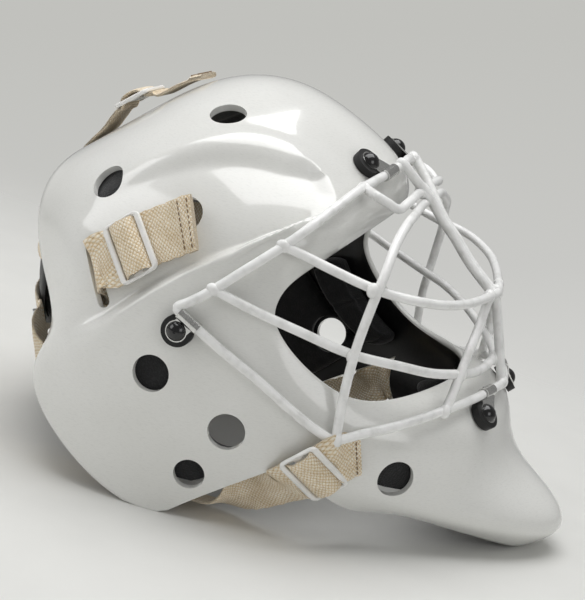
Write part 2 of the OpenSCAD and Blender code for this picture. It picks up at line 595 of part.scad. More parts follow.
// Side strap: out of its slot and forward over the shell to a hemmed end that stands proud
side_slider_uv = [4.06, 4.22];
side_end_uv = [3.6, 3.4];
side_slider_h = 5;
side_slider_o = shell_point(side_slider_uv[0], side_slider_uv[1], side_slider_h);
side_n = shell_normal(side_slider_uv[0], side_slider_uv[1]);
side_along = square_to([0.73, 0, 0.68], side_n);
side_frame = [side_slider_o, side_along, cross(side_n, side_along)];
plate_gap = strap_t / 2 + strap_gap;
side_anchor_z = 13;
function plate_station(y, z) = [plate_point(y, z, plate_gap), [z / plate_bow_z, 0, 1]];
side_stations = concat(
    eased_stations([plate_station(-34, side_anchor_z),
                    plate_station(-46, side_anchor_z),
                    plate_station(-57, side_anchor_z),
                    [sized([-119, -72, 101]), [-0.2, 0.1, 1]],
                    [slot_o - 14 * slot_n - 8 * side_along, -slot_x],
                    [slot_o - 5 * slot_n - 1.5 * side_along, -slot_x],
                    [slot_o + 1.6 * slot_n + 1 * side_along, -slot_x]], 3),
    woven(side_frame),
    eased_stations([[shell_point(3.72, 3.72, 4.5), side_frame[2]],
                    [shell_point(3.64, 3.5, 6), side_frame[2]],
                    [shell_point(side_end_uv[0], side_end_uv[1], 8), side_frame[2]]], 2));
strap_tan = "tan";
module side_strap_right() {
    color(strap_tan) difference() {
        ribbon(side_stations, strap_w, strap_t);
        rivet_hole(rivet_at[1]);
    }
}
module side_strap_left() { mirror([0, 1, 0]) side_strap_right(); }

// Top strap: from the backplate over the rim, through its slider to its hem on the crown
across_y = [0, 1, 0];
top_anchor_z = 33;
top_slider_o = sized([-118.5, 0, 178.5]);
top_along = unit(sized([0.76, 0, 0.65]));
top_frame = [top_slider_o, top_along, across_y];
top_stations = concat(
    eased_stations([[plate_point(0, top_anchor_z - 6, plate_gap), across_y],
                    [plate_point(0, top_anchor_z + 2, plate_gap), across_y],
                    [plate_point(0, top_anchor_z + 10, plate_gap), across_y],
                    [sized([-139.3, 0, 145.5]), across_y],
                    [sized([-134.6, 0, 153.2]), across_y],
                    [sized([-131, 0, 158.4]), across_y]], 3),
    woven(top_frame),
    eased_stations([[sized([-104.5, 0, 184.2]), across_y],
                    [sized([-97, 0, 191]), across_y],
                    [sized([-88, 0, 196.7]), across_y],
                    [sized([-80, 0, 200.5]), across_y]], 2));
module top_strap() {
    color(strap_tan) difference() {
        ribbon(top_stations, strap_w, strap_t);
        rivet_hole(rivet_at[0]);
    }
}

// Lower strap: from the rear band down inside the flap, out of the notch and over the chin
lower_o = sized([40.2, -106.4, 40.1]);
lower_along = unit(sized([0.72, 0, 0.7]));
lower_top = square_to(sized([-0.6, -0.56, 0.58]), lower_along);
lower_frame = [lower_o, lower_along, lower_top];
lower_out = cross(lower_along, lower_top);
function by_slider(a, c, h) = lower_o + a * lower_along + c * lower_top + h * lower_out;
band_end_y = 50;
band_z = -36;
lower_stations = concat(
    eased_stations([plate_station(-band_end_y - 4, band_z),
                    plate_station(-band_end_y - 9, band_z),
                    [sized([-118, -78, 46]), [-0.2, -0.2, 0.95]],
                    [sized([-80, -90, 24]), [-0.2, -0.5, 0.85]],
                    [sized([-40, -94, 10]), [-0.1, -0.9, 0.45], 0.9],
                    [sized([-8, -96, 7]), [-0.05, -1, 0.1], 0.75],
                    [by_slider(-38, -1, -13.5), lower_top, 0.75],
                    [by_slider(-20, -4.5, -7), lower_top, 0.75],
                    [by_slider(-15, -1, -3.3), lower_top, 0.75]], 3),
    woven(lower_frame),
    [[by_slider(weave_out + 2.5, 0, -weave_h), lower_top, 0.8]]);
module lower_strap_right() { color(strap_tan) ribbon(lower_stations, strap_w, strap_t); }
module lower_strap_left() { mirror([0, 1, 0]) lower_strap_right(); }

// Rear band across the backplate
band_stations = [for (y = [-band_end_y:5:band_end_y]) plate_station(y, band_z)];
module rear_band() {
    color(strap_tan) difference() {
        ribbon(band_stations, strap_w, strap_t);
        rivet_hole(rivet_at[3]);
        rivet_hole(rivet_at[4]);
    }
}

// Rivets that hold the straps on the backplate: [y, z] on the plate
rivet_at = [[0, top_anchor_z], [-42, side_anchor_z], [42, side_anchor_z],
            [-38, band_z], [38, band_z]];
rivet_shank_d = 4;
rivet_head_h = 1.6;
rivet_seat = strap_t + 2 * strap_gap + 0.4;
module at_rivet(r) {
    n = plate_normal(r[0], r[1]);
    placed(plate_point(r[0], r[1], 0), square_to([0, 1, 0], n), n) children();
}
module rivet_hole(r) {
    at_rivet(r) translate([0, 0, -plate_t - 2])
        cylinder(d = rivet_shank_d + 1, h = plate_t + strap_t + 8, $fn = 32);
}
module strap_rivets() {
    color("silver") for (r = rivet_at) at_rivet(r) union() {
        translate([0, 0, -plate_t])
            cylinder(d = rivet_shank_d, h = plate_t + rivet_seat + 0.5, $fn = 32);
        translate([0, 0, rivet_seat]) cylinder(d = rivet_d, h = rivet_head_h, $fn = 40);
    }
}
module backplate() {
    color("black") difference() {
        bowed_plate(plate_w, plate_h, 0, plate_t, false);
        for (r = rivet_at) at_rivet(r) translate([0, 0, -plate_t - 2])
            cylinder(d = rivet_shank_d + 2 * bore_gap, h = plate_t + 4, $fn = 32);
    }
}
plate_pad_inset = 8;
module backplate_pad() {
    color("dimgray") bowed_plate(plate_w - plate_pad_inset, plate_h - plate_pad_inset,
                                 plate_t + glue_gap, plate_pad_t, true);
}

module top_slider() { slider(top_frame); }
module side_slider_right() { slider(side_frame); }
module side_slider_left() { mirror([0, 1, 0]) side_slider_right(); }
module lower_slider_right() { slider(lower_frame); }
module lower_slider_left() { mirror([0, 1, 0]) lower_slider_right(); }

// The net is drawn a little forward of the frame, whose origin is under the middle of the box
centre_x = -3.9 * fx;
translate([centre_x, 0, 0]) {
shell();
cage_perimeter_wire();
cage_brow_bar();
cage_arch_bar();
cage_centre_bar_right();
cage_centre_bar_left();
cage_upper_crossbar();
cage_lower_crossbar();
cage_chin_bar_right();
cage_chin_bar_left();
cage_centre_chin_bar();
top_clips();
side_clips();
chin_clips();
clip_washers();
clip_screws();
flanged_nuts();
forehead_pad();
sweatband();
crown_pad();
temple_pad_right();
temple_pad_left();
cheek_pad_right();
cheek_pad_left();
jaw_pad_right();
jaw_pad_left();
chin_pad();
backplate();
backplate_pad();
rear_band();
strap_rivets();
top_strap();
side_strap_right();
side_strap_left();
lower_strap_right();
lower_strap_left();
top_slider();
side_slider_right();
side_slider_left();
lower_slider_right();
lower_slider_left();
}
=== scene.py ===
import math

import bpy
import numpy as np
from mathutils import Matrix, Vector


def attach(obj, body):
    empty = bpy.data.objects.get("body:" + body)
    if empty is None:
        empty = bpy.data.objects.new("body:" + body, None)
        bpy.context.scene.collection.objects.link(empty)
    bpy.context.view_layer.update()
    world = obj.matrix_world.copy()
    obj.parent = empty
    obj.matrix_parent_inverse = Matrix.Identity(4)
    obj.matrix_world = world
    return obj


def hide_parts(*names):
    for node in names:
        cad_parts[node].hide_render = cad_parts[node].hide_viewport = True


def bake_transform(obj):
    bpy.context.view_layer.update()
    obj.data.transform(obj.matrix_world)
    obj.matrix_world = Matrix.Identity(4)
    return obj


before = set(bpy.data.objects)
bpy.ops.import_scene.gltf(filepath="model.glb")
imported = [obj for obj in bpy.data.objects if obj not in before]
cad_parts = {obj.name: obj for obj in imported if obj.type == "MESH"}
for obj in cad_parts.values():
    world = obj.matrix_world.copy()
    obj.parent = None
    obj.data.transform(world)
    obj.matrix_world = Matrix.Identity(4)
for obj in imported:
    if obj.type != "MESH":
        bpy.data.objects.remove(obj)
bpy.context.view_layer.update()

# All drawing is in millimetres: +X forward, +Y the wearer's left, +Z up. TO_FRAME then moves it
# into the CAD's frame, whose origin is under the middle of the mask's bounding box.
MM = 0.001
TO_FRAME = np.array([-3.9, 0, 0])
WALL = 3.6
WIRE = 4.8
MIDDLE_BAR = 5.2
STRAP_W = 28
STRAP_T = 1.8
SLIDER_L = 21.5
SLIDER_T = 2.2
SLIDER_BAR = 3
MIDDLE_STRIP = 5
PLATE_T = 2.5


def unit(v):
    v = np.asarray(v, float)
    return v / np.linalg.norm(v, axis=-1, keepdims=True)


def square_to(v, n):
    v = np.asarray(v, float)
    return unit(v - (v * n).sum(-1, keepdims=True) * n)


def mirrored(points):
    return np.asarray(points, float) * [1, -1, 1]


# ---------------------------------------------------------------- the shell's surface
# A cubic B-spline net, from the face opening's rim (v = 0) to the outer rim (v = 7), and from the
# middle of the brow (u = 0) round the wearer's right side to the middle of the chin (u = 12).
NET = [
    [(37, 0, 160), (37, 0, 172), (30, 0, 187), (6, 0, 201),
     (-35, 0, 215), (-77, 0, 206), (-109, 0, 176), (-131, 0, 154)],
    [(31, -34, 153), (32, -37, 163), (21, -39, 175), (-4, -40, 188),
     (-38, -42, 204), (-75, -43, 197), (-109, -42, 170), (-137, -36, 147)],
    [(23, -64, 145), (28, -71, 154), (20, -77, 166), (-6, -80, 180),
     (-43, -81, 188), (-81, -77, 176), (-115, -69, 151), (-142, -55, 133)],
    [(16, -87, 137), (17, -97, 146), (6, -103, 156), (-19, -105, 161),
     (-54, -104, 158), (-91, -99, 144), (-120, -87, 126), (-137, -70, 113)],
    [(6, -103, 127), (0, -109, 133), (-15, -113, 137), (-39, -115, 136),
     (-67, -113, 128), (-95, -106, 115), (-114, -95, 103), (-124, -81, 93)],
    [(3, -108, 117), (-3, -112, 119), (-19, -116, 119), (-42, -118, 115),
     (-68, -117, 105), (-89, -111, 91), (-102, -101, 78), (-105, -92, 68)],
    [(4, -110, 107), (-3, -115, 104), (-21, -118, 97), (-43, -119, 88),
     (-67, -119, 76), (-90, -115, 63), (-108, -109, 52), (-118, -103, 47)],
    [(19, -105, 91), (12, -112, 85), (-3, -117, 76), (-21, -119, 64),
     (-41, -119, 51), (-61, -118, 37), (-76, -116, 25), (-86, -114, 16)],
    [(43, -96, 77), (38, -104, 68), (27, -110, 56), (14, -113, 43),
     (1, -115, 31), (-10, -116, 17), (-18, -117, 3), (-23, -118, -13)],
    [(59, -83, 76), (60, -90, 68), (59, -95, 57), (57, -97, 47),
     (56, -96, 38), (56, -92, 31), (57, -86, 26), (59, -80, 23)],
    [(72, -62, 79), (81, -66, 76), (92, -70, 66), (93, -72, 51),
     (94, -71, 37), (98, -68, 27), (102, -62, 19), (98, -54, 14)],
    [(83, -34, 82), (98, -38, 81), (112, -44, 71), (115, -45, 52),
     (121, -44, 38), (134, -41, 27), (144, -37, 15), (131, -29, 5)],
    [(89, 0, 83), (103, 0, 81), (116, 0, 72), (122, 0, 54),
     (134, 0, 41), (159, 0, 31), (175, 0, 14), (149, 0, -4)],
]
U_END = 12
V_END = 7
half_net = np.array(NET, float)
net_rows = np.concatenate([half_net[1:2] * [1, -1, 1], half_net,
                           half_net[-2:-1] * [1, -1, 1], half_net[-3:-2] * [1, -1, 1]])


def weights(t):
    return np.array([(1 - t) ** 3, 3 * t ** 3 - 6 * t * t + 4,
                     -3 * t ** 3 + 3 * t * t + 3 * t + 1, t ** 3]) / 6


def net_point(u, v):
    u, v = np.broadcast_arrays(np.asarray(u, float), np.asarray(v, float))
    i = np.clip(np.floor(u), 0, U_END - 1).astype(int)
    column = np.einsum("kn,nkjd->njd", weights(u - i), net_rows[i[:, None] + np.arange(4)])
    column = np.concatenate([2 * column[:, :1] - column[:, 1:2], column,
                             2 * column[:, -1:] - column[:, -2:-1]], axis=1)
    k = np.clip(np.floor(v), 0, V_END - 1).astype(int)
    share = weights(v - k)
    n = np.arange(len(u))
    return sum(share[j][:, None] * column[n, k + j] for j in range(4))


def net_normal(u, v):
    step = 0.02
    here = net_point(u, v)
    round_rim = net_point(u + step, v) - here
    to_rim = np.where((v > 1)[:, None], here - net_point(u, v - step),
                      net_point(u, v + step) - here)
    return unit(np.cross(to_rim, round_rim))


# The hollow moulded into each temple: ridges above and below it, and a curved front edge
UPPER_RIDGE = [(1, 0.9), (2.5, 1.35), (3.1, 1.75), (4.3, 2.15), (5.2, 2.6), (7, 3.2)]
LOWER_RIDGE = [(1, 2.4), (2, 2.8), (2.15, 3.55), (2.35, 4.1), (2.75, 4.55), (3.25, 5),
               (3.85, 5.35), (4.45, 5.6), (7, 5.8)]
FRONT_ARC = [(1.3, 3.1), (1.7, 2.8), (1.8, 2.4), (2, 2.05), (2.4, 1.75), (2.95, 1.35),
             (3.4, 1.5), (4.1, 2), (5.6, 4.2)]
RIDGE_WIDTH = 0.45
RIDGE_HEIGHT = 1.4
HOLLOW_DEPTH = 4.5


def ease(a, b, x):
    t = np.clip((x - a) / (b - a), 0, 1)
    return t * t * (3 - 2 * t)


def bump(x, w):
    return np.where(abs(x) < w, (1 - (x / w) ** 2) ** 2, 0)


def line_of(pairs, x):
    return np.interp(x, [p[0] for p in pairs], [p[1] for p in pairs])


def relief(u, v):
    top, low, arc = line_of(UPPER_RIDGE, v), line_of(LOWER_RIDGE, v), line_of(FRONT_ARC, u)
    fade = 1 - ease(4, 5.8, v)
    hollow = (ease(top, top + RIDGE_WIDTH, u) * (1 - ease(low - RIDGE_WIDTH, low, u))
              * ease(arc, arc + RIDGE_WIDTH, v) * fade)
    ridge = (bump(u - top, RIDGE_WIDTH) + bump(u - low - 0.1, RIDGE_WIDTH)) \
        * ease(arc - 0.4, arc + 0.4, v) * fade
    return RIDGE_HEIGHT * ridge - HOLLOW_DEPTH * hollow


def folded(u):
    side = np.where((u < 0) | (u > U_END), -1.0, 1.0)
    return np.where(u < 0, -u, np.where(u > U_END, 2 * U_END - u, u)), side


def shell_point(u, v, h=0.0, level=False):
    u, v, h = (a.ravel() for a in np.broadcast_arrays(*(np.asarray(x, float) for x in (u, v, h))))
    f, side = folded(u)
    rise = h - HOLLOW_DEPTH if level else h + relief(f, v)
    p = net_point(f, v) + rise[:, None] * net_normal(f, v)
    p[:, 1] *= side
    return p


def shell_normal(u, v):
    u, v = (a.ravel() for a in np.broadcast_arrays(np.asarray(u, float), np.asarray(v, float)))
    f, side = folded(u)
    n = net_normal(f, v)
    n[:, 1] *= side
    return n


# ---------------------------------------------------------------- materials
def linear(code):
    channels = [int(code[i:i + 2], 16) / 255 for i in (1, 3, 5)]
    return [c / 12.92 if c <= 0.04045 else ((c + 0.055) / 1.055) ** 2.4 for c in channels] + [1]


def feed(tree, node, inputs):
    """Links or sets a node's inputs."""
    for name, value in inputs.items():
        if isinstance(value, bpy.types.NodeSocket):
            tree.links.new(value, node.inputs[name])
        else:
            node.inputs[name].default_value = value


def add(tree, kind, settings=None, inputs=None):
    node = tree.nodes.new(kind)
    for name, value in (settings or {}).items():
        setattr(node, name, value)
    feed(tree, node, inputs or {})
    return node


def finish_of(name):
    material = bpy.data.materials.new(name)
    material.use_nodes = True
    tree = material.node_tree
    tree.nodes.clear()
    shader = add(tree, "ShaderNodeBsdfPrincipled")
    add(tree, "ShaderNodeOutputMaterial", inputs={"Surface": shader.outputs[0]})
    where = add(tree, "ShaderNodeTexCoord").outputs["Object"]
    return material, tree, shader, where


def speckle(tree, where, size_mm, detail=2.0, stretch=None):
    """A noise whose lumps are about size_mm across."""
    if stretch:
        mapping = add(tree, "ShaderNodeMapping", inputs={"Vector": where, "Scale": stretch})
        where = mapping.outputs[0]
    return add(tree, "ShaderNodeTexNoise", inputs={
        "Vector": where, "Scale": 1 / (size_mm * MM), "Detail": detail}).outputs["Fac"]


def ramp(tree, value, stops):
    node = add(tree, "ShaderNodeValToRGB", inputs={"Fac": value})
    while len(node.color_ramp.elements) < len(stops):
        node.color_ramp.elements.new(0.5)
    for element, (at, code) in zip(node.color_ramp.elements, stops):
        element.position = at
        element.color = linear(code)
    return node.outputs["Color"]


def spread(tree, value, low, high):
    return add(tree, "ShaderNodeMapRange", inputs={
        "Value": value, "To Min": low, "To Max": high}).outputs["Result"]


def raised(tree, shader, height, mm, strength=1.0):
    node = add(tree, "ShaderNodeBump", inputs={
        "Height": height, "Distance": mm * MM, "Strength": strength})
    feed(tree, shader, {"Normal": node.outputs[0]})


def times(tree, first, second):
    """Two colours multiplied."""
    return add(tree, "ShaderNodeMix", {"data_type": "RGBA", "blend_type": "MULTIPLY"},
               {0: 1.0, 6: first, 7: second}).outputs[2]


def grained(name, pattern, stops, rough, relief, others=None, dulled_by=None, raised_by=None):
    """A finish whose colour, roughness and relief follow one noise, or noises of their own."""
    material, tree, shader, where = finish_of(name)
    grain = speckle(tree, where, *pattern)
    dull = speckle(tree, where, *dulled_by) if dulled_by else grain
    height = speckle(tree, where, *raised_by) if raised_by else grain
    feed(tree, shader, {"Base Color": ramp(tree, grain, stops),
                        "Roughness": spread(tree, dull, *rough), **(others or {})})
    raised(tree, shader, height, *relief)
    return material


# Gelcoat, polished over a glass-fibre laminate: a neutral white with a deep wet gloss, faint long
# waves from the layup, and fine handling marks that only the highlights show.
def gelcoat():
    material, tree, shader, where = finish_of("white_gelcoat")
    marks = speckle(tree, where, 2.2, 6, (1, 1, 6))
    worn = ramp(tree, marks, [(0.0, "#DBDBD8"), (0.34, "#E2E2DF"), (0.5, "#E7E7E4")])
    tint = ramp(tree, speckle(tree, where, 60, 2), [(0.3, "#F6F6F5"), (0.7, "#FFFFFF")])
    feed(tree, shader, {"Base Color": times(tree, worn, tint),
                        "Roughness": spread(tree, marks, 0.17, 0.1),
                        "IOR": 1.52, "Coat Weight": 0.5, "Coat Roughness": 0.02})
    raised(tree, shader, speckle(tree, where, 26, 1), 0.18)
    return material


GELCOAT = gelcoat()


# Black lacquer over bare laminate inside the shell: the cloth's 2.5 mm weave telegraphs through.
def inside_lacquer():
    material, tree, shader, where = finish_of("black_lacquer_over_laminate")
    cells = add(tree, "ShaderNodeTexVoronoi", {"distance": "CHEBYCHEV"},
                {"Vector": where, "Scale": 1 / (2.5 * MM), "Randomness": 0.25}).outputs["Distance"]
    feed(tree, shader, {"Base Color": ramp(tree, cells, [(0.1, "#0D0D0F"), (0.7, "#060607")]),
                        "Roughness": spread(tree, speckle(tree, where, 14), 0.22, 0.4)})
    raised(tree, shader, cells, 0.12, 0.6)
    return material


LACQUER = inside_lacquer()

# Powder coat on steel wire: soft white gloss with orange peel about 1.5 mm across, rubbed a
# little greyer where pucks and boards touch it.
PAINT = grained("white_powder_coat", (7, 5),
                [(0.3, "#DEDEDC"), (0.45, "#ECECEB"), (0.6, "#F2F2F1")],
                (0.3, 0.16), (0.02, 0.4), {"IOR": 1.5}, raised_by=(1.5, 1))

# Stainless spring steel, bent and tumbled: bright, with fine drawn lines and duller smudges.
STEEL = grained("tumbled_stainless", (0.5, 3, (1, 1, 0.15)),
                [(0.3, "#C2C2C0"), (0.65, "#E0E0DE")],
                (0.12, 0.24), (0.008, 0.3), {"Metallic": 1}, dulled_by=(5,))

# Zinc-plated steel: greyer and more mottled than the clips.
ZINC = grained("zinc_plated_steel", (2.5, 4), [(0.3, "#7F8385"), (0.7, "#B9BCBE")],
               (0.5, 0.28), (0.03, 0.5), {"Metallic": 1})

# Moulded rubber: near black with a fine matt grain and a slight bloom.
RUBBER = grained("moulded_black_rubber", (0.7, 3), [(0.3, "#070707"), (0.75, "#151515")],
                 (0.5, 0.68), (0.06, 0.6))

# Black oxide and wax on the screw heads: dark with a small clear highlight.
OXIDE = grained("black_oxide_screw", (3, 3), [(0.3, "#050505"), (0.7, "#0E0E0F")],
                (0.1, 0.24), (0.04, 0.4), {"Specular IOR Level": 0.7})


# Woven elastic webbing, undyed cotton over rubber: uneven crossing ribs about 1.5 mm apart, with
# cream tops and a random fuzz; the brown in the small pits is painted shade.
def webbing_cloth():
    material, tree, shader = finish_of("undyed_elastic_webbing")[:3]
    weave = add(tree, "ShaderNodeUVMap", {"uv_map": "weave"}).outputs["UV"]
    ribs = []
    for turn in (0.62, -0.62):
        along = add(tree, "ShaderNodeMapping", inputs={"Vector": weave, "Rotation": (0, 0, turn)})
        ribs.append(add(tree, "ShaderNodeTexWave", inputs={
            "Vector": along.outputs[0], "Scale": 0.314 / (1.5 * MM), "Distortion": 2.2,
            "Detail": 1.0, "Detail Scale": 1.5}).outputs["Fac"])
    crossing = add(tree, "ShaderNodeMath", {"operation": "MULTIPLY"}, {0: ribs[0], 1: ribs[1]})
    fuzz = speckle(tree, weave, 0.6, 3)
    height = add(tree, "ShaderNodeMath", {"operation": "MULTIPLY_ADD"},
                 {0: fuzz, 1: 0.6, 2: crossing.outputs[0]}).outputs[0]
    # The thread colour follows the relief's height: the brown low down is painted shade in the
    # pits, and the fuzz is random tone.
    thread = ramp(tree, height, [(0.16, "#957C59"), (0.27, "#D2BA95"), (0.4, "#EEDFC4"),
                                 (0.7, "#F5ECDA"), (1.0, "#F9F4EA")])
    soil = ramp(tree, speckle(tree, weave, 9, 3), [(0.3, "#E9E2D6"), (0.7, "#FFFFFF")])
    feed(tree, shader, {"Base Color": times(tree, thread, soil),
                        "Roughness": spread(tree, height, 0.95, 0.75),
                        "Sheen Weight": 0.25, "Sheen Roughness": 0.5})
    raised(tree, shader, height, 0.3)
    return material


WEBBING = webbing_cloth()

# Waxed polyester thread, twisted: brown, with turns about 0.4 mm apart.
THREAD = grained("waxed_polyester_thread", (0.4, 1), [(0.3, "#4A3520"), (0.7, "#8B6C45")],
                 (0.6, 0.6), (0.08,))

# Nylon, injection moulded: milky white, satin, with a faint flow mottle.
NYLON = grained("moulded_white_nylon", (6, 3), [(0.3, "#E2E1DE"), (0.7, "#EEEDEB")],
                (0.32, 0.44), (0.03, 0.5),
                {"Subsurface Weight": 0.1, "Subsurface Radius": (0.002, 0.002, 0.002),
                 "Subsurface Scale": 1}, raised_by=(0.9, 2))


# Brushed nylon cloth laminated on foam: soft black with loops about 0.9 mm and a pale nap.
def pad_cloth(name, dark, light):
    material, tree, shader, where = finish_of(name)
    loops = add(tree, "ShaderNodeTexVoronoi", inputs={
        "Vector": where, "Scale": 1 / (0.9 * MM)}).outputs["Distance"]
    nap = speckle(tree, where, 7, 3)
    height = add(tree, "ShaderNodeMath", {"operation": "ADD"}, {0: loops, 1: nap}).outputs[0]
    feed(tree, shader, {"Base Color": ramp(tree, height, [(0.4, light), (1.0, dark)]),
                        "Roughness": spread(tree, nap, 0.8, 0.98), "Sheen Weight": 0.35})
    raised(tree, shader, height, 0.2)
    return material


LINER = pad_cloth("brushed_black_liner", "#0B0B0D", "#1E1F22")
TERRY = pad_cloth("black_terry_sweatband", "#08080A", "#2A2B30")

# ABS, moulded with a spark-eroded grain: matt charcoal.
ABS = grained("grained_black_abs", (0.8, 3), [(0.3, "#121213"), (0.7, "#1D1D1F")],
              (0.42, 0.58), (0.08, 0.7), dulled_by=(12,))


# ---------------------------------------------------------------- making pieces
def placed(name, data):
    thing = bpy.data.objects.new(name, data)
    bpy.context.scene.collection.objects.link(thing)
    return thing


def evaluated_mesh(thing):
    """What a curve or a modifier comes to, as a mesh of its own."""
    view = bpy.context.evaluated_depsgraph_get()
    return bpy.data.meshes.new_from_object(thing.evaluated_get(view))


def new_piece(name, points, faces, materials, face_slots=None, sharp=40):
    """A mesh piece from points in millimetres, smooth but for edges sharper than the angle."""
    mesh = bpy.data.meshes.new(name)
    mesh.from_pydata(((np.asarray(points, float) + TO_FRAME) * MM).tolist(), [], faces)
    for material in materials:
        mesh.materials.append(material)
    if face_slots is not None:
        mesh.polygons.foreach_set("material_index", face_slots)
    mesh.validate()
    mesh.shade_smooth()
    mesh.set_sharp_from_angle(angle=math.radians(sharp))
    piece = placed(name, mesh)
    return piece


def ring_faces(rows, cols, round_rows, round_cols):
    """Quads over a grid of points, closed round either way."""
    last_row = rows if round_rows else rows - 1
    last_col = cols if round_cols else cols - 1
    return [(i * cols + j, (i + 1) % rows * cols + j,
             (i + 1) % rows * cols + (j + 1) % cols, i * cols + (j + 1) % cols)
            for i in range(last_row) for j in range(last_col)]


def tube_faces(rows, sides, start=0):
    """Rings of points from start on, joined in a row and closed at both ends."""
    last = start + (rows - 1) * sides
    return [tuple(start + q for q in f) for f in ring_faces(rows, sides, False, True)] \
        + [tuple(range(start, start + sides))[::-1], tuple(range(last, last + sides))]


def slab_faces(rows, cols):
    """Two grids of the same points, one behind the other, closed all round their rim."""
    n = rows * cols
    rim = [i * cols for i in range(rows)] + [(rows - 1) * cols + j for j in range(1, cols)] \
        + [i * cols + cols - 1 for i in range(rows - 2, -1, -1)] + list(range(cols - 2, 0, -1))
    faces = [f[::-1] for f in ring_faces(rows, cols, False, False)]
    faces += [tuple(n + q for q in f[::-1]) for f in faces]
    return faces + [(a, b, n + b, n + a) for a, b in zip(rim, rim[1:] + rim[:1])]


def cut_by(piece, cutters):
    """Cuts the plugs out of the piece and drops them."""
    modifier = piece.modifiers.new("holes", "BOOLEAN")
    modifier.object, modifier.operation, modifier.solver = cutters, "DIFFERENCE", "EXACT"
    mesh = evaluated_mesh(piece)
    old = piece.data
    piece.modifiers.clear()
    piece.data = mesh
    bpy.data.meshes.remove(old)
    mesh.name = piece.name
    bpy.data.objects.remove(cutters)


def curve_through(route, steps, closed=False):
    """A smooth line through the route's points."""
    r = np.asarray(route, float)
    n = len(r)
    out = []
    for i in range(n if closed else n - 1):
        a = r[i - 1] if closed or i else 2 * r[0] - r[1]
        b, c = r[i], r[(i + 1) % n]
        d = r[(i + 2) % n] if closed or i < n - 2 else 2 * r[-1] - r[-2]
        for t in np.arange(steps) / steps:
            out.append(0.5 * (2 * b + (c - a) * t + (2 * a - 5 * b + 4 * c - d) * t * t
                              + (3 * b - a - 3 * c + d) * t ** 3))
    if not closed:
        out.append(r[-1])
    return np.array(out)


def directions(p, closed=False):
    if closed:
        return unit(np.roll(p, -1, 0) - np.roll(p, 1, 0))
    return unit(np.concatenate([p[1:2] - p[:1], p[2:] - p[:-2], p[-1:] - p[-2:-1]]))


def rod(name, route, diameter, material, closed=False, steps=6, sides=16):
    """A round wire along a route, with rounded ends."""
    p = curve_through(route, steps, closed)
    t = directions(p, closed)
    normal = [unit(np.cross(t[0], [0.3, 0.2, 1]))]
    for k in t[1:]:
        normal.append(square_to(normal[-1], k))
    normal = np.array(normal)
    if closed:
        last = square_to(normal[-1], t[0])
        twist = math.atan2(np.cross(last, normal[0]) @ t[0], last @ normal[0])
        turn = twist * np.arange(len(p))[:, None] / len(p)
        normal = normal * np.cos(turn) + np.cross(t, normal) * np.sin(turn)
    side = np.cross(t, normal)
    radius = np.full(len(p), diameter / 2)
    if not closed:
        caps = [(0.86, 0.5), (0.5, 0.86), (0.1, 0.99)]
        head = [p[0] - t[0] * diameter / 2 * b for a, b in caps[::-1]]
        tail = [p[-1] + t[-1] * diameter / 2 * b for a, b in caps]
        p = np.concatenate([head, p, tail])
        radius = np.concatenate([[diameter / 2 * a for a, b in caps[::-1]], radius,
                                 [diameter / 2 * a for a, b in caps]])
        normal = np.concatenate([[normal[0]] * 3, normal, [normal[-1]] * 3])
        side = np.concatenate([[side[0]] * 3, side, [side[-1]] * 3])
    angle = np.arange(sides) * 2 * math.pi / sides
    points = (p[:, None] + radius[:, None, None] * (np.cos(angle)[None, :, None] * normal[:, None]
              + np.sin(angle)[None, :, None] * side[:, None])).reshape(-1, 3)
    faces = ring_faces(len(p), sides, True, True) if closed else tube_faces(len(p), sides)
    return new_piece(name, points, faces, [material])


def frame_matrix(origin, along, out):
    """Millimetre axes at origin, x along and z out, as a Blender matrix in metres."""
    x, z = np.asarray(along, float), np.asarray(out, float)
    y = np.cross(z, x)
    origin = origin + TO_FRAME
    m = Matrix.Identity(4)
    for i in range(3):
        m[i][0], m[i][1], m[i][2], m[i][3] = x[i] * MM, y[i] * MM, z[i] * MM, origin[i] * MM
    return m


# ---------------------------------------------------------------- shell
VENTS = [(1.5, 4.3, 18.5), (2.65, 5.35, 18.5), (3.35, 3.8, 18.5), (6.45, 3.65, 18.5),
         (7.55, 3.2, 18.5), (7.8, 5, 15.5), (9.55, 3.7, 19)]
TOP_SCREW = (0.89, 2.2)
SIDE_SCREW = (5.81, 2.84)
CHIN_SCREW = (11, 1.78)
SCREW_HOLE = 6.8
SLOT_UV, SLOT_END_UV = (4.4, 4.9), (5, 4.62)
SLOT_W = 6.5
SLOT_LEN = STRAP_W + 8
CUT_REACH = 14
# How far the side strap lies from the slot's middle, towards the slot's upper end
SLOT_SHIFT = 3
NOTCH = [(0, 7), (7.85, 7), (8.5, 2.5), (9.15, 7), (12, 7)]
NOTCH_FROM = 1.8

slot_n = shell_normal(*SLOT_UV)[0]
slot_o = shell_point(*SLOT_UV)[0]
slot_x = square_to(shell_point(*SLOT_END_UV)[0] - slot_o, slot_n)


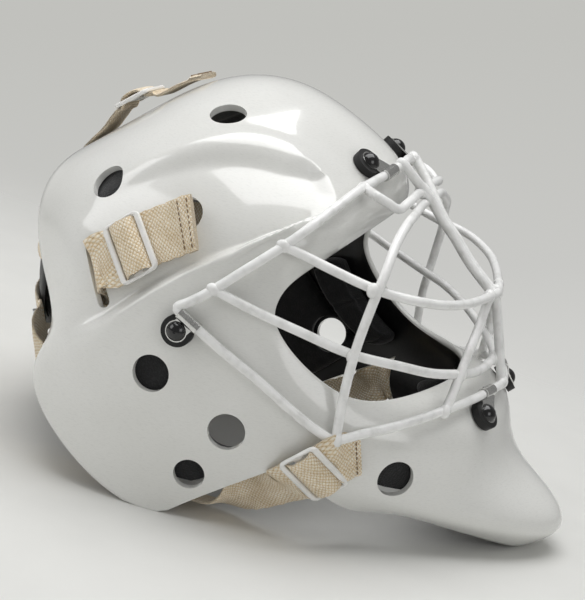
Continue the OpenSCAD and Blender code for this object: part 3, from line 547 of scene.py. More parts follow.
def plugs(rounds, slotted=False, sides=(1,)):
    """One mesh of round plugs (u, v, diameter, from, to) and the strap slot's, to cut with."""
    outlines = []
    for u, v, d, low, high in rounds:
        n = shell_normal(u, v)[0]
        a = np.arange(64) * 2 * math.pi / 64
        flat = d / 2 * np.stack([np.cos(a), np.sin(a)], 1)
        outlines.append((shell_point(u, v)[0], square_to([1, 0, 0], n), n, flat, low, high))
    if slotted:
        a = np.linspace(-math.pi / 2, math.pi / 2, 17)
        end = SLOT_W / 2 * np.stack([np.cos(a), np.sin(a)], 1)
        straight = (SLOT_LEN - SLOT_W) / 2
        flat = np.concatenate([end + [straight, 0], -end - [straight, 0]])
        outlines.append((slot_o, slot_x, slot_n, flat, -CUT_REACH, CUT_REACH))
    points, faces = [], []
    for o, x, n, flat, low, high in outlines:
        y = np.cross(n, x)
        for side in sides:
            start, k = len(points), len(flat)
            for h in (low, high):
                points += list((o + flat[:, :1] * x + flat[:, 1:] * y + h * n) * [1, side, 1])
            ring = [(start + i, start + (i + 1) % k, start + k + (i + 1) % k, start + k + i)
                    for i in range(k)]
            ring += [tuple(range(start + k - 1, start - 1, -1)),
                     tuple(range(start + k, start + 2 * k))]
            faces += ring if side > 0 else [f[::-1] for f in ring]
    return new_piece("cutters", points, faces, [GELCOAT])


def shell_skin():
    half_u = np.unique(np.round(np.concatenate([
        np.arange(0, 1.2, 0.1), np.arange(1.2, 5.8, 0.05), np.arange(5.8, 7.8, 0.1),
        np.arange(7.8, 9.2, 0.05), np.arange(9.2, 12.01, 0.1)]), 3))
    v = np.concatenate([np.arange(0, 1, 0.12), np.arange(1, 1.8, 0.08), np.arange(1.8, 2.6, 0.03),
                        np.arange(2.6, 3.6, 0.06), np.arange(3.6, 7.01, 0.1)])
    v[-1] = V_END
    rim_h = np.array([0.12, 0.3, 0.5, 0.7, 0.88]) * -WALL
    rim_push = np.sqrt(1 - (2 * rim_h / WALL + 1) ** 2) * 0.9
    loops = []
    for u in half_u:
        reach = line_of(NOTCH, u)
        vv = np.where(v <= NOTCH_FROM, v,
                      NOTCH_FROM + (v - NOTCH_FROM) * (reach - NOTCH_FROM) / (V_END - NOTCH_FROM))
        outer = shell_point(u, vv, 0)
        inner = shell_point(u, vv, -WALL)
        far = shell_point(u, vv[-1], rim_h) + rim_push[:, None] * unit(outer[-1] - outer[-2])
        near = shell_point(u, vv[0], rim_h) + rim_push[:, None] * unit(outer[0] - outer[1])
        loops.append(np.concatenate([outer, far, inner[::-1], near[::-1]]))
    loops = np.array(loops)
    whole = np.concatenate([loops, mirrored(loops[-2:0:-1])])
    whole[..., 2] = np.maximum(whole[..., 2], 0)
    rows, cols = whole.shape[:2]
    faces = ring_faces(rows, cols, True, True)
    first_inner = len(v) + len(rim_h)
    inside = [1 if first_inner <= f % cols < first_inner + len(v) - 1 else 0
              for f in range(rows * cols)]
    skin = new_piece("shell_skin", whole.reshape(-1, 3), faces, [GELCOAT, LACQUER],
                     inside)
    rounds = VENTS + [(*s, SCREW_HOLE) for s in (TOP_SCREW, SIDE_SCREW, CHIN_SCREW)]
    cut_by(skin, plugs([(*hole, -CUT_REACH, CUT_REACH) for hole in rounds], True, (1, -1)))
    skin.data.set_sharp_from_angle(angle=math.radians(38))
    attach(skin, "mask")
    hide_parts("shell")


shell_skin()

# ---------------------------------------------------------------- cage
PERIMETER = [
    (32, 0, 183.5), (31.5, -11, 182), (30, -21, 180.3), (28.5, -29, 178.5), (26.5, -38, 176.5),
    (21.5, -63, 171.8), (17.5, -81, 166), (13.5, -93, 160.5), (9.5, -102, 155), (1, -108.5, 145),
    (-11, -116, 132.5), (-24.5, -120.5, 118.5), (-34, -122, 110), (-39.5, -122.5, 105.8),
    (-36.5, -122.8, 103), (-32.5, -122.8, 100.9), (-28.5, -122.7, 98.8), (-13, -121, 90.3),
    (6.5, -118, 80.5), (22.5, -113.5, 70.5), (38, -108.5, 62), (46.5, -105, 59.5),
    (57.5, -97.8, 64), (72, -85.3, 69.3), (89, -64.5, 76.5), (100, -44.5, 80.8), (103, -37, 81.9),
    (105, -30, 82.5), (107.5, -17, 82.3), (109, -7, 82)]
ARCH = [
    (46.5, -105, 58.5), (44.8, -103.5, 80), (45, -102.5, 104), (47, -101.5, 124.5),
    (48.9, -97.5, 141), (48.6, -82, 155), (49, -62, 162.5), (49.3, -50, 164.5), (48.5, -30, 166),
    (47, 0, 164), (48.5, 30, 165.5), (49, 50, 161), (49.5, 62, 156.5), (47.5, 80, 148),
    (46.5, 95.5, 135.5), (45.5, 100, 123), (44.5, 102, 108), (43.8, 102.5, 92), (44.8, 103.5, 76),
    (46.5, 105, 58.5)]
BROW = [(22.8, -56, 172.5), (31, -64, 171.5), (36.8, -62, 169.3), (40.3, -59, 167.3),
        (42.7, -55, 167), (44, -48, 168.8), (45, -38, 170.5), (44.3, -26, 170.5), (43.5, 0, 169)]
UPPER = [
    (1, -108.5, 145), (12, -105.5, 142.3), (23, -103, 139.4), (42, -98, 134.8), (57.5, -94, 133),
    (71.5, -85.5, 132), (80, -71, 130.5), (87, -48, 129), (92, -22, 128.3), (94.8, 0, 128),
    (91.5, 22, 129.5), (86, 48, 131), (79, 70, 132.5), (68, 84, 135.5), (57, 91, 137.5),
    (45, 95, 138.5), (24, 101.5, 142.5), (13, 104, 146.5), (4.8, 105.7, 149.5)]
LOWER = [
    (-24.5, -120.5, 118.5), (-4.5, -117.5, 113.2), (18, -111, 107.8), (42.5, -99.5, 101),
    (65, -87, 98.5), (78.5, -71, 95), (88, -54, 93), (93.5, -42, 92), (97.5, -27, 91),
    (100.3, -11, 92), (101, 0, 93), (100, 11, 92.5), (97, 27, 92), (91.5, 42, 93.5),
    (85, 54, 95.5), (72, 71, 100.5), (57, 86.5, 104.5), (42, 96.5, 107), (18, 110, 112),
    (0, 116.5, 117), (-20.6, 119.2, 122.5)]
CENTRE = [(33, -16, 182.5), (39.6, -12.3, 176.3), (45.8, -8.2, 170.4), (51.8, -4.4, 163.8),
          (58.2, -2.7, 156.8), (66.3, -2.5, 149.6), (77.2, -2.5, 138.8), (92.5, -2.5, 126.8)]
CHIN = [(92.5, -16, 127.5), (92.3, -29, 113.8), (91.8, -41, 104.3), (91.3, -50.5, 94),
        (90.5, -57, 83.3), (89.8, -64.5, 76.3)]
CENTRE_CHIN = [(93.5, 0, 127), (97.5, 0, 116), (101.5, 0, 104), (105, 0, 93), (108.5, 0, 82.5)]


def whole_of(half):
    return half + [(x, -y, z) for x, y, z in half[-2::-1]]


def cage():
    wires = [("perimeter_wire", PERIMETER + [(x, -y, z) for x, y, z in PERIMETER[:0:-1]], WIRE),
             ("brow_bar", whole_of(BROW), WIRE), ("arch_bar", ARCH, WIRE),
             ("upper_crossbar", UPPER, WIRE), ("lower_crossbar", LOWER, WIRE),
             ("centre_bar_right", CENTRE, MIDDLE_BAR),
             ("centre_bar_left", mirrored(CENTRE), MIDDLE_BAR),
             ("chin_bar_right", CHIN, WIRE), ("chin_bar_left", mirrored(CHIN), WIRE),
             ("centre_chin_bar", CENTRE_CHIN, MIDDLE_BAR)]
    for name, route, diameter in wires:
        loop = name == "perimeter_wire"
        bar = rod(name, route, diameter, PAINT, loop, steps=4 if loop else 6)
        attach(bar, "mask")
        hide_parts("cage_" + name)


cage()


# A weld is a small collar of filler metal that runs from one wire on to the other.
WELDS = [
    ((46.5, -105, 59.5), (0, 0, 1), 6.6), ((46.5, 105, 59.5), (0, 0, 1), 6.6),
    ((1, -108.5, 145), (0.97, 0.2, -0.2), 6.2), ((4.8, 105.7, 150), (0.9, -0.2, -0.3), 6.2),
    ((-24.5, -120.5, 118.5), (0.95, 0.15, -0.25), 6.2),
    ((-20.6, 119.4, 122.5), (0.95, -0.15, -0.25), 6.2),
    ((22.8, -57, 172.6), (0.8, -0.6, -0.1), 6.2), ((22.8, 57, 172.6), (0.8, 0.6, -0.1), 6.2),
    ((89.6, -64.5, 76.4), (0.1, 0.5, 0.85), 6.2), ((89.6, 64.5, 76.4), (0.1, -0.5, 0.85), 6.2),
    ((91.3, -49.5, 93), (0, 0.4, 0.9), 6.2), ((91.3, 49.5, 94.2), (0, -0.4, 0.9), 6.2),
    ((92.4, -16, 128), (0, 0.6, 0.8), 6.2), ((92.6, 16, 128.6), (0, -0.6, 0.8), 6.2),
    ((94, 0, 127.8), (0.4, 0, -0.9), 6.8), ((101.6, 0, 93), (0.3, 0, -0.9), 6.4),
    ((108.8, 0, 82), (0.3, 0, -0.9), 6.6), ((32.3, -15.5, 182.2), (0.6, 0.4, -0.6), 6.6),
    ((32.3, 15.5, 182.2), (0.6, -0.4, -0.6), 6.6), ((44, -9, 169.8), (0.6, 0.4, -0.6), 6.6),
    ((44, 9, 169.8), (0.6, -0.4, -0.6), 6.6), ((46, -101.5, 134.3), (0.1, 0, 1), 6.2),
    ((44.4, -102, 100.6), (0, 0, 1), 6.2), ((46.3, 96.5, 138), (0.1, 0, 1), 6.2)]


def welds():
    rings, around = 9, 14
    points, faces = [], []
    for o, axis, size in WELDS:
        z = unit(axis)
        x = unit(np.cross(z, [0.3, 1, 0.2]))
        y = np.cross(z, x)
        start = len(points)
        for i in range(rings):
            f = math.pi * (i + 0.5) / rings
            r, h = size / 2 * math.sin(f), size * 0.62 * math.cos(f)
            for k in range(around):
                a = 2 * math.pi * k / around
                lump = 1 + 0.05 * math.sin(3 * a + o[0])
                points.append(np.array(o) + r * lump * (math.cos(a) * x + math.sin(a) * y) + h * z)
        faces += [f[::-1] for f in tube_faces(rings, around, start)]
    piece = new_piece("weld_beads", points, faces, [PAINT])
    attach(piece, "mask")


welds()

# ---------------------------------------------------------------- straps
SIDE_SLIDER_UV = (4.06, 4.22)
PLATE_X, PLATE_Z, BOW_Y, BOW_Z = -150.8, 92, 85, 90
PLATE_W, PLATE_H = 112, 92
STRAP_GAP = 0.35
PLATE_GAP = STRAP_T / 2 + STRAP_GAP
SIDE_ANCHOR_Z, TOP_ANCHOR_Z = 13, 33
BAND_END_Y, BAND_Z = 50, -36
WEAVE_H = SLIDER_T / 2 + STRAP_GAP + STRAP_T / 2


def plate_point(y, z, h):
    return np.array([PLATE_X + y * y / (2 * BOW_Y) + z * z / (2 * BOW_Z) - h, y, PLATE_Z + z])


def plate_stop(y, z):
    return (plate_point(y, z, PLATE_GAP), (z / BOW_Z, 0, 1), 1)


def near_shell(u, v, h, across, share=1):
    return (shell_point(u, v, h)[0], across, share)


def slider_frame(o, along, across):
    along = unit(along)
    across = square_to(across, along)
    return np.asarray(o, float), along, across, np.cross(along, across)


def by_slider(f, a, c, h):
    return f[0] + a * f[1] + c * f[2] + h * f[3]


def through(f):
    """A strap's way through its slider: under the end bars, over the middle one."""
    h = WEAVE_H
    rise = [(0, 1.3), (2.4, 1.28), (4.4, 1.05), (5.9, 0.5), (6.9, -0.35), (7.8, -0.85), (9.4, -1),
            (11.8, -1)]
    stops = [(-a, q) for a, q in rise[:0:-1]] + rise
    return [(by_slider(f, a, 0, q * h), f[2], 1) for a, q in stops]


class Strap:
    """A band of webbing along stations (middle, way across, share of the width)."""

    def __init__(self, stations, spacing=1.6):
        p = curve_through([s[0] for s in stations], 12)
        across = curve_through([unit(s[1]) for s in stations], 12)
        share = curve_through([[s[2], 0, 0] for s in stations], 12)[:, 0]
        run = np.concatenate([[0], np.cumsum(np.linalg.norm(np.diff(p, axis=0), axis=1))])
        self.length = run[-1]
        self.s = np.linspace(0, run[-1], int(run[-1] / spacing) + 2)
        self.p = np.stack([np.interp(self.s, run, p[:, k]) for k in range(3)], 1)
        self.t = directions(self.p)
        wide = np.stack([np.interp(self.s, run, across[:, k]) for k in range(3)], 1)
        self.side = square_to(wide, self.t)
        self.up = np.cross(self.t, self.side)
        self.share = np.interp(self.s, run, share)

    def at(self, point):
        """The distance along the strap that lies nearest to a point."""
        return self.s[np.argmin(np.linalg.norm(self.p - point, axis=1))]

    def spot(self, s, c, h=0.0):
        row = [np.array([np.interp(s, self.s, a[:, k]) for k in range(3)])
               for a in (self.p, self.side, self.up)]
        return row[0] + c * row[1] + h * row[2], row[2], row[1]

    def piece(self, name, start, end, hem=0.0, seed=0.0):
        """The stretch from start to end, with a hem of doubled cloth at its far end."""
        keep = [start] + [s for s in self.s if start + 0.4 < s < end - 0.4] + [end]
        half, cols = STRAP_W / 2, 15
        edge = np.linspace(-1, 1, cols)
        flat = np.concatenate([edge, edge[::-1]])
        upper = np.concatenate([np.ones(cols), -np.ones(cols)])
        points, uv = [], []
        for s in keep:
            p, up, side = self.spot(s, 0)
            w = half * np.interp(s, self.s, self.share)
            w += 0.22 * math.sin(s * 0.9 + seed) + 0.12 * math.sin(s * 2.3 + 2 * seed)
            t = STRAP_T / 2 * (1.75 if hem and s > end - hem else 1.0)
            lift = STRAP_T / 2 * 0.75 if hem and s > end - hem else 0.0
            profile = t * (1 - 0.55 * abs(flat) ** 8)
            bow = 0.25 * math.sin(s * 0.35 + seed)
            for c, k, h in zip(flat, upper, profile):
                points.append(p + w * c * side + (k * h + lift + bow * (1 - c * c)) * up)
                uv.append((s * MM, (half * c + (0 if k > 0 else 40)) * MM))
        strap = new_piece(name, points, tube_faces(len(keep), 2 * cols), [WEBBING],
                          sharp=60)
        layer = strap.data.uv_layers.new(name="weave")
        for loop in strap.data.loops:
            layer.data[loop.index].uv = uv[loop.vertex_index]
        return strap


# One stitch, as shares of its pitch, lifts above the line, and shares of the thread's thickness
STITCH = [(0.14, -0.15, 0.6), (0.3, 0.18, 1), (0.5, 0.25, 1), (0.7, 0.18, 1), (0.86, -0.15, 0.6)]
THREAD_R = 0.3


def cross_rows(half, height, *places):
    """Lines of stitches across the strap."""
    return [((s, -half), (s, half), height) for s in places]


def stitches(name, strap, lines, body, pitch=2.6):
    """Short thread stitches; each line is a start and an end as (along, across), and a height."""
    points, faces = [], []
    ring = 6
    for (s0, c0), (s1, c1), h in lines:
        reach = math.hypot(s1 - s0, c1 - c0)
        count = max(1, int(reach / pitch))
        for i in range(count):
            rows = []
            for q, lift, size in STITCH:
                f = (i + q) / count
                centre, up, side = strap.spot(s0 + (s1 - s0) * f, c0 + (c1 - c0) * f, h + lift)
                way = np.cross(side, up) * (s1 - s0) / reach + side * (c1 - c0) / reach
                rows.append((centre, unit(np.cross(up, way)), up, THREAD_R * size))
            start = len(points)
            for centre, x, y, r in rows:
                for k in range(ring):
                    a = 2 * math.pi * k / ring
                    points.append(centre + r * (math.cos(a) * x + math.sin(a) * y))
            faces += tube_faces(len(STITCH), ring, start)
    piece = new_piece(name, points, faces, [THREAD])
    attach(piece, body)


def strap_slider(name, f, body):
    """A moulded frame of two windows and a middle bar, with rounded edges."""
    outline = bpy.data.curves.new(name, "CURVE")
    outline.dimensions = "2D"
    outline.fill_mode = "BOTH"
    soft = 0.75
    outline.extrude = SLIDER_T / 2 - soft
    outline.bevel_depth = soft
    outline.bevel_resolution = 3
    width = STRAP_W + 4
    window_l = (SLIDER_L - 2 * SLIDER_BAR - MIDDLE_STRIP) / 2

    def rounded(x0, x1, y0, y1, r, steps=6):
        corners = [(x1 - r, y1 - r, 0), (x0 + r, y1 - r, 90),
                   (x0 + r, y0 + r, 180), (x1 - r, y0 + r, 270)]
        return [(cx + r * math.cos(math.radians(a + 90 * k / steps)),
                 cy + r * math.sin(math.radians(a + 90 * k / steps)))
                for cx, cy, a in corners for k in range(steps + 1)]

    loops = [rounded(-SLIDER_L / 2 + soft, SLIDER_L / 2 - soft,
                     -width / 2 + soft, width / 2 - soft, 2.6)]
    for x0 in (-SLIDER_L / 2 + SLIDER_BAR, MIDDLE_STRIP / 2):
        loops.append(rounded(x0 - soft, x0 + window_l + soft, -STRAP_W / 2 - 0.3 - soft,
                             STRAP_W / 2 + 0.3 + soft, 1.4)[::-1])
    for loop in loops:
        spline = outline.splines.new("POLY")
        spline.points.add(len(loop) - 1)
        spline.points.foreach_set("co", [q for x, y in loop for q in (x, y, 0, 1)])
        spline.use_cyclic_u = True
    flat = placed(name + "_outline", outline)
    mesh = evaluated_mesh(flat)
    bpy.data.objects.remove(flat)
    mesh.transform(frame_matrix(f[0], f[1], f[3]))
    mesh.materials.clear()
    mesh.materials.append(NYLON)
    mesh.shade_smooth()
    mesh.set_sharp_from_angle(angle=math.radians(50))
    piece = placed(name + "_frame", mesh)
    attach(piece, body)
    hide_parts(name)


def turned(stations, turn):
    return [(np.asarray(p) * turn, np.asarray(a) * turn, k) for p, a, k in stations]


def side_strap(side):
    hand = "right" if side < 0 else "left"
    turn = np.array([1, -side, 1])
    n = shell_normal(*SIDE_SLIDER_UV)[0]
    o = shell_point(*SIDE_SLIDER_UV, 5)[0]
    along = square_to([0.73, 0, 0.68], n)
    f = slider_frame(o, along, np.cross(n, along))
    stations = [plate_stop(-34, SIDE_ANCHOR_Z), plate_stop(-46, SIDE_ANCHOR_Z),
                plate_stop(-56, SIDE_ANCHOR_Z),
                (np.array([-119, -72, 101]), (-0.2, 0.1, 1), 1),
                (slot_o - 14 * slot_n - 8 * along - SLOT_SHIFT * slot_x, -slot_x, 1),
                (slot_o - 5 * slot_n - 1.5 * along - SLOT_SHIFT * slot_x, -slot_x, 1),
                (slot_o + 1.2 * slot_n + 0.6 * along - SLOT_SHIFT * slot_x, -slot_x, 1),
                (slot_o + 2.4 * slot_n + 5 * along + 1.5 * f[2] - 2 * slot_x,
                 f[2] - 0.2 * slot_x, 1)]
    stations += through(f)
    stations += [near_shell(3.8, 3.84, 3.6, f[2]), near_shell(3.72, 3.68, 4.6, f[2]),
                 near_shell(3.64, 3.52, 6.2, f[2]), near_shell(3.58, 3.38, 7.8, f[2])]
    strap = Strap(turned(stations, turn))
    body = "side_slider_" + hand
    slot_at = strap.at((slot_o - 5 * slot_n) * turn)
    bar_at = strap.at(by_slider(f, -9.2, 0, 0) * turn)
    inner = strap.piece("side_strap_%s_inner" % hand, 0, slot_at)
    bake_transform(inner)
    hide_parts("side_strap_" + hand)
    middle = strap.piece("side_strap_%s_middle" % hand, slot_at, bar_at)
    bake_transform(middle)
    outer = strap.piece("side_strap_%s_end" % hand, bar_at, strap.length, hem=8, seed=1.0)
    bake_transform(outer)
    end = strap.length
    # The stitches stay on the hem, which the slider never reaches
    stitches("side_stitches_" + hand, strap, cross_rows(12.6, 2.3, end - 6.6, end - 1.8), "mask")
    strap_slider("side_slider_" + hand, tuple(a * turn for a in f), body)


def top_strap():
    f = slider_frame((-118.5, 0, 178.5), (0.76, 0, 0.65), (0, 1, 0))
    y = (0, 1, 0)
    stations = [(plate_point(0, TOP_ANCHOR_Z + z, PLATE_GAP), y, 1) for z in (-6, 2, 10)]
    stations += [(np.array(p, float), y, 1)
                 for p in ((-139.3, 0, 145.5), (-134.6, 0, 153.2), (-131, 0, 158.4))]
    stations += through(f)
    stations += [(np.array(p, float), y, 1)
                 for p in ((-105.5, 0, 183.3), (-101, 0, 186.6), (-96.5, 0, 190.6), (-90, 0, 195),
                           (-83, 0, 198.6))]
    strap = Strap(stations)
    rim_at = strap.at((-134.6, 0, 153.2))
    bar_at = strap.at(by_slider(f, -9.2, 0, 0))
    inner = strap.piece("top_strap_inner", 0, rim_at)
    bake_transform(inner)
    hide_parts("top_strap")
    middle = strap.piece("top_strap_middle", rim_at, bar_at)
    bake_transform(middle)
    outer = strap.piece("top_strap_end", bar_at, strap.length, hem=7, seed=2.0)
    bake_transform(outer)
    end = strap.length
    stitches("top_stitches", strap, cross_rows(12.6, 2.3, end - 5.6, end - 1.8), "mask")
    strap_slider("top_slider", f, "top_slider")


def lower_strap(side):
    hand = "right" if side < 0 else "left"
    turn = np.array([1, -side, 1])
    f = slider_frame((40.2, -106.4, 40.1), (0.72, 0, 0.7), (-0.6, -0.56, 0.58))
    stations = [plate_stop(-BAND_END_Y - 4, BAND_Z), plate_stop(-BAND_END_Y - 8, BAND_Z),
                (np.array([-118, -78, 46]), (-0.2, -0.2, 0.95), 1),
                (np.array([-80, -90, 24]), (-0.2, -0.5, 0.85), 1),
                (np.array([-40, -94, 10]), (-0.1, -0.9, 0.45), 0.95),
                (np.array([-8, -96, 7]), (-0.1, -0.98, 0.2), 0.8),
                (by_slider(f, -38, -2, -13), f[2] * 0.9 - f[3] * 0.3, 0.8),
                (by_slider(f, -20, -4, -6.5), f[2], 0.85),
                (by_slider(f, -15, -1, -3.2), f[2], 0.95)]
    stations += through(f)
    stations += [(by_slider(f, 14.5, -2.2, -3.6), f[2] - 0.1 * f[1], 0.94),
                 (by_slider(f, 18, -5, -5.6), f[2] - 0.2 * f[1], 0.86),
                 (by_slider(f, 22, -8, -7), f[2] - 0.3 * f[1], 0.8)]
    strap = Strap(turned(stations, turn))
    body = "lower_slider_" + hand
    under_at = strap.at(np.array([-8, -96, 7]) * turn)
    bar_at = strap.at(by_slider(f, -9.2, 0, 0) * turn)
    inner = strap.piece("lower_strap_%s_inner" % hand, 0, under_at)
    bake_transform(inner)
    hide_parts("lower_strap_" + hand)
    middle = strap.piece("lower_strap_%s_middle" % hand, under_at, bar_at)
    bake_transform(middle)
    outer = strap.piece("lower_strap_%s_end" % hand, bar_at, strap.length, hem=6, seed=3.0)
    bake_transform(outer)
    end = strap.length
    stitches("lower_stitches_" + hand, strap, cross_rows(10.5, 2.2, end - 2.4), "mask")
    strap_slider("lower_slider_" + hand, tuple(a * turn for a in f), body)


def rear_band():
    strap = Strap([plate_stop(y, BAND_Z) for y in range(-BAND_END_Y, BAND_END_Y + 1, 5)])
    band = strap.piece("rear_band_webbing", 0, strap.length)
    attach(band, "backplate")
    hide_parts("rear_band")


for side in (-1, 1):
    side_strap(side)
    lower_strap(side)
top_strap()
rear_band()


# ---------------------------------------------------------------- liner and backplate
GLUE_GAP = 0.85
PAD_T, CROWN_PAD_T, CHIN_PAD_T, TEMPLE_PAD_T, JAW_PAD_T, BACK_PAD_T = 12, 9, 14, 9, 6, 11
SWEATBAND_T, SWEATBAND_DEPTH = 2.5, 12.3
LINER_HOLE = 22.5
NUT_CLEARANCE = 15


def bored(piece, holes):
    """Cuts round holes through a pad, square to the shell at (u, v)."""
    cut_by(piece, plugs([(u, v, d, -40, 10) for u, v, d in holes]))


def pad(name, u0, u1, v0, v1, thick, depth=0, level=False, material=LINER,
        channels=(), rows=48, cols=40):
    """A crowned foam pad that follows the shell's inside, with a sewn edge and sewn channels."""
    s, t = np.meshgrid(np.linspace(-1, 1, rows), np.linspace(-1, 1, cols), indexing="ij")
    pull = 1 - 0.05 * (abs(s) ** 2 * abs(t) ** 2)
    u = (u0 + u1) / 2 + (u1 - u0) / 2 * s * np.sqrt(1 - 0.12 * t ** 2 * abs(t)) * pull
    v = (v0 + v1) / 2 + (v1 - v0) / 2 * t * np.sqrt(1 - 0.12 * s ** 2 * abs(s)) * pull
    edge = np.maximum(abs(s), abs(t))
    crown = 0.3 + 0.7 * np.sqrt(np.clip(1 - edge ** 7, 0, 1)) * (0.94 + 0.06 * np.cos(s * 2.2))
    for at in channels:
        crown = crown - 0.2 * np.exp(-((s - at) / 0.05) ** 2) * (1 - edge ** 4)
    crown = crown - 0.14 * np.exp(-((edge - 0.88) / 0.03) ** 2)
    back = WALL + GLUE_GAP + depth
    top = shell_point(u, v, -back - thick * crown, level)
    base = shell_point(u, v, np.full(u.shape, -back), level)
    return new_piece(name, np.concatenate([top, base]), slab_faces(rows, cols), [material],
                     sharp=70)


def finish_pad(piece, body, node):
    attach(piece, body)
    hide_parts(node)


def liner():
    finish_pad(pad("forehead_cushion", -1.55, 1.55, 2.75, 3.75, PAD_T, channels=(-0.5, 0, 0.5)),
               "mask", "forehead_pad")
    finish_pad(pad("crown_cushion", -3, 3, 4.95, 6, CROWN_PAD_T, channels=(-0.45, 0, 0.45),
                   rows=110), "mask", "crown_pad")
    finish_pad(pad("chin_cushion", 9.15, 14.85, 2.65, 4.55, CHIN_PAD_T, rows=90),
               "mask", "chin_pad")
    finish_pad(pad("sweatband_cloth", -1.35, 1.35, 2.85, 3.6, SWEATBAND_T, SWEATBAND_DEPTH,
                   material=TERRY), "mask", "sweatband")
    for hand in ("right", "left"):
        temple = pad("temple_cushion_" + hand, 2.3, 4.6, 1.6, 4.4, TEMPLE_PAD_T, level=True,
                     channels=(-0.35, 0.35))
        bored(temple, [(*VENTS[2][:2], LINER_HOLE)])
        cheek = pad("cheek_cushion_" + hand, 6.05, 8.2, 1.3, 2.45, PAD_T, channels=(0,))
        jaw = pad("jaw_cushion_" + hand, 6, 8, 2.6, 5.55, JAW_PAD_T)
        bored(jaw, [(*VENTS[4][:2], LINER_HOLE), (*SIDE_SCREW, NUT_CLEARANCE)])
        for piece, kind in ((temple, "temple_pad_"), (cheek, "cheek_pad_"), (jaw, "jaw_pad_")):
            if hand == "left":
                piece.data.transform(Matrix.Scale(-1, 4, Vector((0, 1, 0))))
                piece.data.flip_normals()
            finish_pad(piece, "mask", kind + hand)


liner()


def bowed(name, w, tall, front, back, material, crowned, rows=40, cols=36):
    """A bowed plate or pad between two depths, with rounded corners and a soft edge."""
    s, t = np.meshgrid(np.linspace(-1, 1, rows), np.linspace(-1, 1, cols), indexing="ij")
    y = w / 2 * s * np.sqrt(1 - 0.4 * t * t)
    z = tall / 2 * t * np.sqrt(1 - 0.4 * s * s)
    edge = np.maximum(abs(s), abs(t))
    if crowned:
        full = 0.35 + 0.65 * np.sqrt(np.clip(1 - edge ** 8, 0, 1))
        full = full - 0.16 * np.exp(-(t / 0.04) ** 2) * (1 - edge ** 4) \
            - 0.16 * np.exp(-(s / 0.04) ** 2) * (1 - edge ** 4)
        soften = np.zeros_like(edge)
    else:
        full = np.ones_like(edge)
        soften = 0.7 * np.clip((edge - 0.96) / 0.04, 0, 1) ** 2

    def layer(inside):
        x = PLATE_X + y * y / (2 * BOW_Y) + z * z / (2 * BOW_Z) + inside
        return np.stack([x, y, PLATE_Z + z], -1).reshape(-1, 3)

    outer = layer(front + soften)
    inner = layer(front + (back - front) * full - soften)
    return new_piece(name, np.concatenate([outer, inner]), slab_faces(rows, cols), [material],
                     sharp=50)


def backplate():
    plate = bowed("backplate_moulding", PLATE_W, PLATE_H, 0, PLATE_T, ABS, False)
    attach(plate, "backplate")
    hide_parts("backplate")
    against = PLATE_T + GLUE_GAP
    cushion = bowed("backplate_cushion", PLATE_W - 8, PLATE_H - 8, against, against + BACK_PAD_T,
                    LINER, True)
    finish_pad(cushion, "backplate", "backplate_pad")


backplate()

# ---------------------------------------------------------------- fasteners kept from the CAD
for node, material in (("top_clips", STEEL), ("side_clips", STEEL), ("chin_clips", STEEL),
                       ("clip_washers", RUBBER), ("clip_screws", OXIDE), ("flanged_nuts", ZINC),
                       ("strap_rivets", ZINC)):
    part = bpy.data.objects[node]
    for holder in part.material_slots:
        holder.material = material

# ---------------------------------------------------------------- table, light and camera
AZIMUTH, ELEVATION, ROLL = 11.4, 14.2, 13.2
DISTANCE, TARGET = 900, np.array([-11, 0, 93]) + TO_FRAME
FOCAL_PIXELS, TALL_PIXELS = 1665, 600
a, e, r = (math.radians(q) for q in (AZIMUTH, ELEVATION, ROLL))
to_camera = np.array([math.sin(a) * math.cos(e), -math.cos(a) * math.cos(e), math.sin(e)])
level_right = unit(np.cross(-to_camera, [0, 0, 1]))
level_up = np.cross(level_right, -to_camera)
camera_right = math.cos(r) * level_right + math.sin(r) * level_up
camera_up = -math.sin(r) * level_right + math.cos(r) * level_up
lens = bpy.data.cameras.new("camera")
lens.sensor_fit = "VERTICAL"
lens.sensor_height = 36
lens.lens = 36 * FOCAL_PIXELS / TALL_PIXELS
camera = placed("camera", lens)
camera.matrix_world = Matrix([[camera_right[i], camera_up[i], to_camera[i],
                               (TARGET + DISTANCE * to_camera)[i] * MM] for i in range(3)]
                             + [[0, 0, 0, 1]])
bpy.context.scene.camera = camera


def soft_box(name, place, aim, size, watts, colour="#FFFFFF"):
    light = bpy.data.lights.new(name, "AREA")
    light.shape = "RECTANGLE"
    light.size, light.size_y = size
    light.energy = watts
    light.color = linear(colour)[:3]
    out = Vector(place) - Vector(aim)
    placed(name, light).matrix_world = (Matrix.Translation(place)
                                        @ out.to_track_quat("Z", "Y").to_matrix().to_4x4())


soft_box("ceiling_box", (-0.1, 0.1, 1.3), (0, 0, 0.1), (1.4, 1.0), 15)
soft_box("front_box", (1.1, -0.9, 0.7), (0, 0, 0.1), (0.7, 0.7), 3)
soft_box("left_box", (-1.3, -0.7, 0.8), (0, 0, 0.1), (0.8, 0.8), 5)


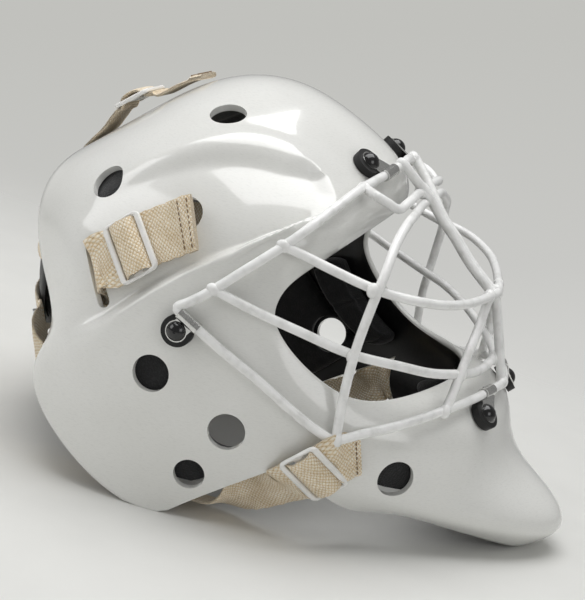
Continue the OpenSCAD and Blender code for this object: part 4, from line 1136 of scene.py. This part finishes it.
def surroundings():
    """The room: an even pale light, which reflections see too, and a wall behind for camera and
    transmission rays that darkens towards the top: painted shade.
    """
    world = bpy.data.worlds.new("room")
    bpy.context.scene.world = world
    world.use_nodes = True
    tree = world.node_tree
    tree.nodes.clear()
    rays = add(tree, "ShaderNodeLightPath")
    seen = add(tree, "ShaderNodeMath", {"operation": "MAXIMUM"},
               {0: rays.outputs["Is Camera Ray"], 1: rays.outputs["Is Transmission Ray"]})
    way = add(tree, "ShaderNodeTexCoord").outputs["Generated"]
    height = add(tree, "ShaderNodeVectorMath", {"operation": "DOT_PRODUCT"},
                 {0: way, 1: tuple(camera_up)}).outputs["Value"]
    level = add(tree, "ShaderNodeMapRange", inputs={
        "Value": height, "From Min": -0.19, "From Max": 0.16}).outputs["Result"]
    # The wall darkens from the bottom of the frame towards the top: painted shade of the room's
    # light falling off.
    wall = ramp(tree, level, [(0.0, "#D2D2D0"), (0.47, "#CFCFCC"), (0.6, "#C8C8C5"),
                              (1.0, "#C1C1BD")])
    room = add(tree, "ShaderNodeBackground", inputs={"Color": linear("#F4F4F2"), "Strength": 0.3})
    shaded_backdrop = add(tree, "ShaderNodeBackground", inputs={"Color": wall, "Strength": 1.0})
    both = add(tree, "ShaderNodeMixShader", inputs={
        0: seen.outputs[0], 1: room.outputs[0], 2: shaded_backdrop.outputs[0]})
    add(tree, "ShaderNodeOutputWorld", inputs={"Surface": both.outputs[0]})


surroundings()


def table_top():
    """A pale matt table that thins out into the room beyond the object."""
    reach = 1500
    points = [(x, y, -0.05) for x in (-reach, reach) for y in (-reach, reach)]
    mesh = bpy.data.meshes.new("table_top")
    mesh.from_pydata((np.array(points) * MM).tolist(), [], [(0, 2, 3, 1)])
    material, tree, shader, where = finish_of("matt_table_paper")
    grain = speckle(tree, where, 40, 2)
    feed(tree, shader, {"Base Color": ramp(tree, grain, [(0.3, "#DADAD7"), (0.7, "#DDDDDA")]),
                        "Roughness": 0.85, "Specular IOR Level": 0.15})
    raised(tree, shader, speckle(tree, where, 1.5, 2), 0.05, 0.3)
    split = add(tree, "ShaderNodeSeparateXYZ", inputs={"Vector": where})
    lean = add(tree, "ShaderNodeMath", {"operation": "MULTIPLY_ADD"},
               {0: split.outputs["X"], 1: 0.22, 2: split.outputs["Y"]})
    away = add(tree, "ShaderNodeMapRange", {"interpolation_type": "SMOOTHSTEP"},
               {"Value": lean.outputs[0], "From Min": 0.12, "From Max": 0.5}).outputs["Result"]
    clear = add(tree, "ShaderNodeBsdfTransparent")
    both = add(tree, "ShaderNodeMixShader", inputs={
        0: away, 1: shader.outputs[0], 2: clear.outputs[0]})
    for node in tree.nodes:
        if node.type == "OUTPUT_MATERIAL":
            feed(tree, node, {"Surface": both.outputs[0]})
    mesh.materials.append(material)
    table = placed("table_top", mesh)


table_top()
bpy.context.scene.view_settings.view_transform = "Standard"
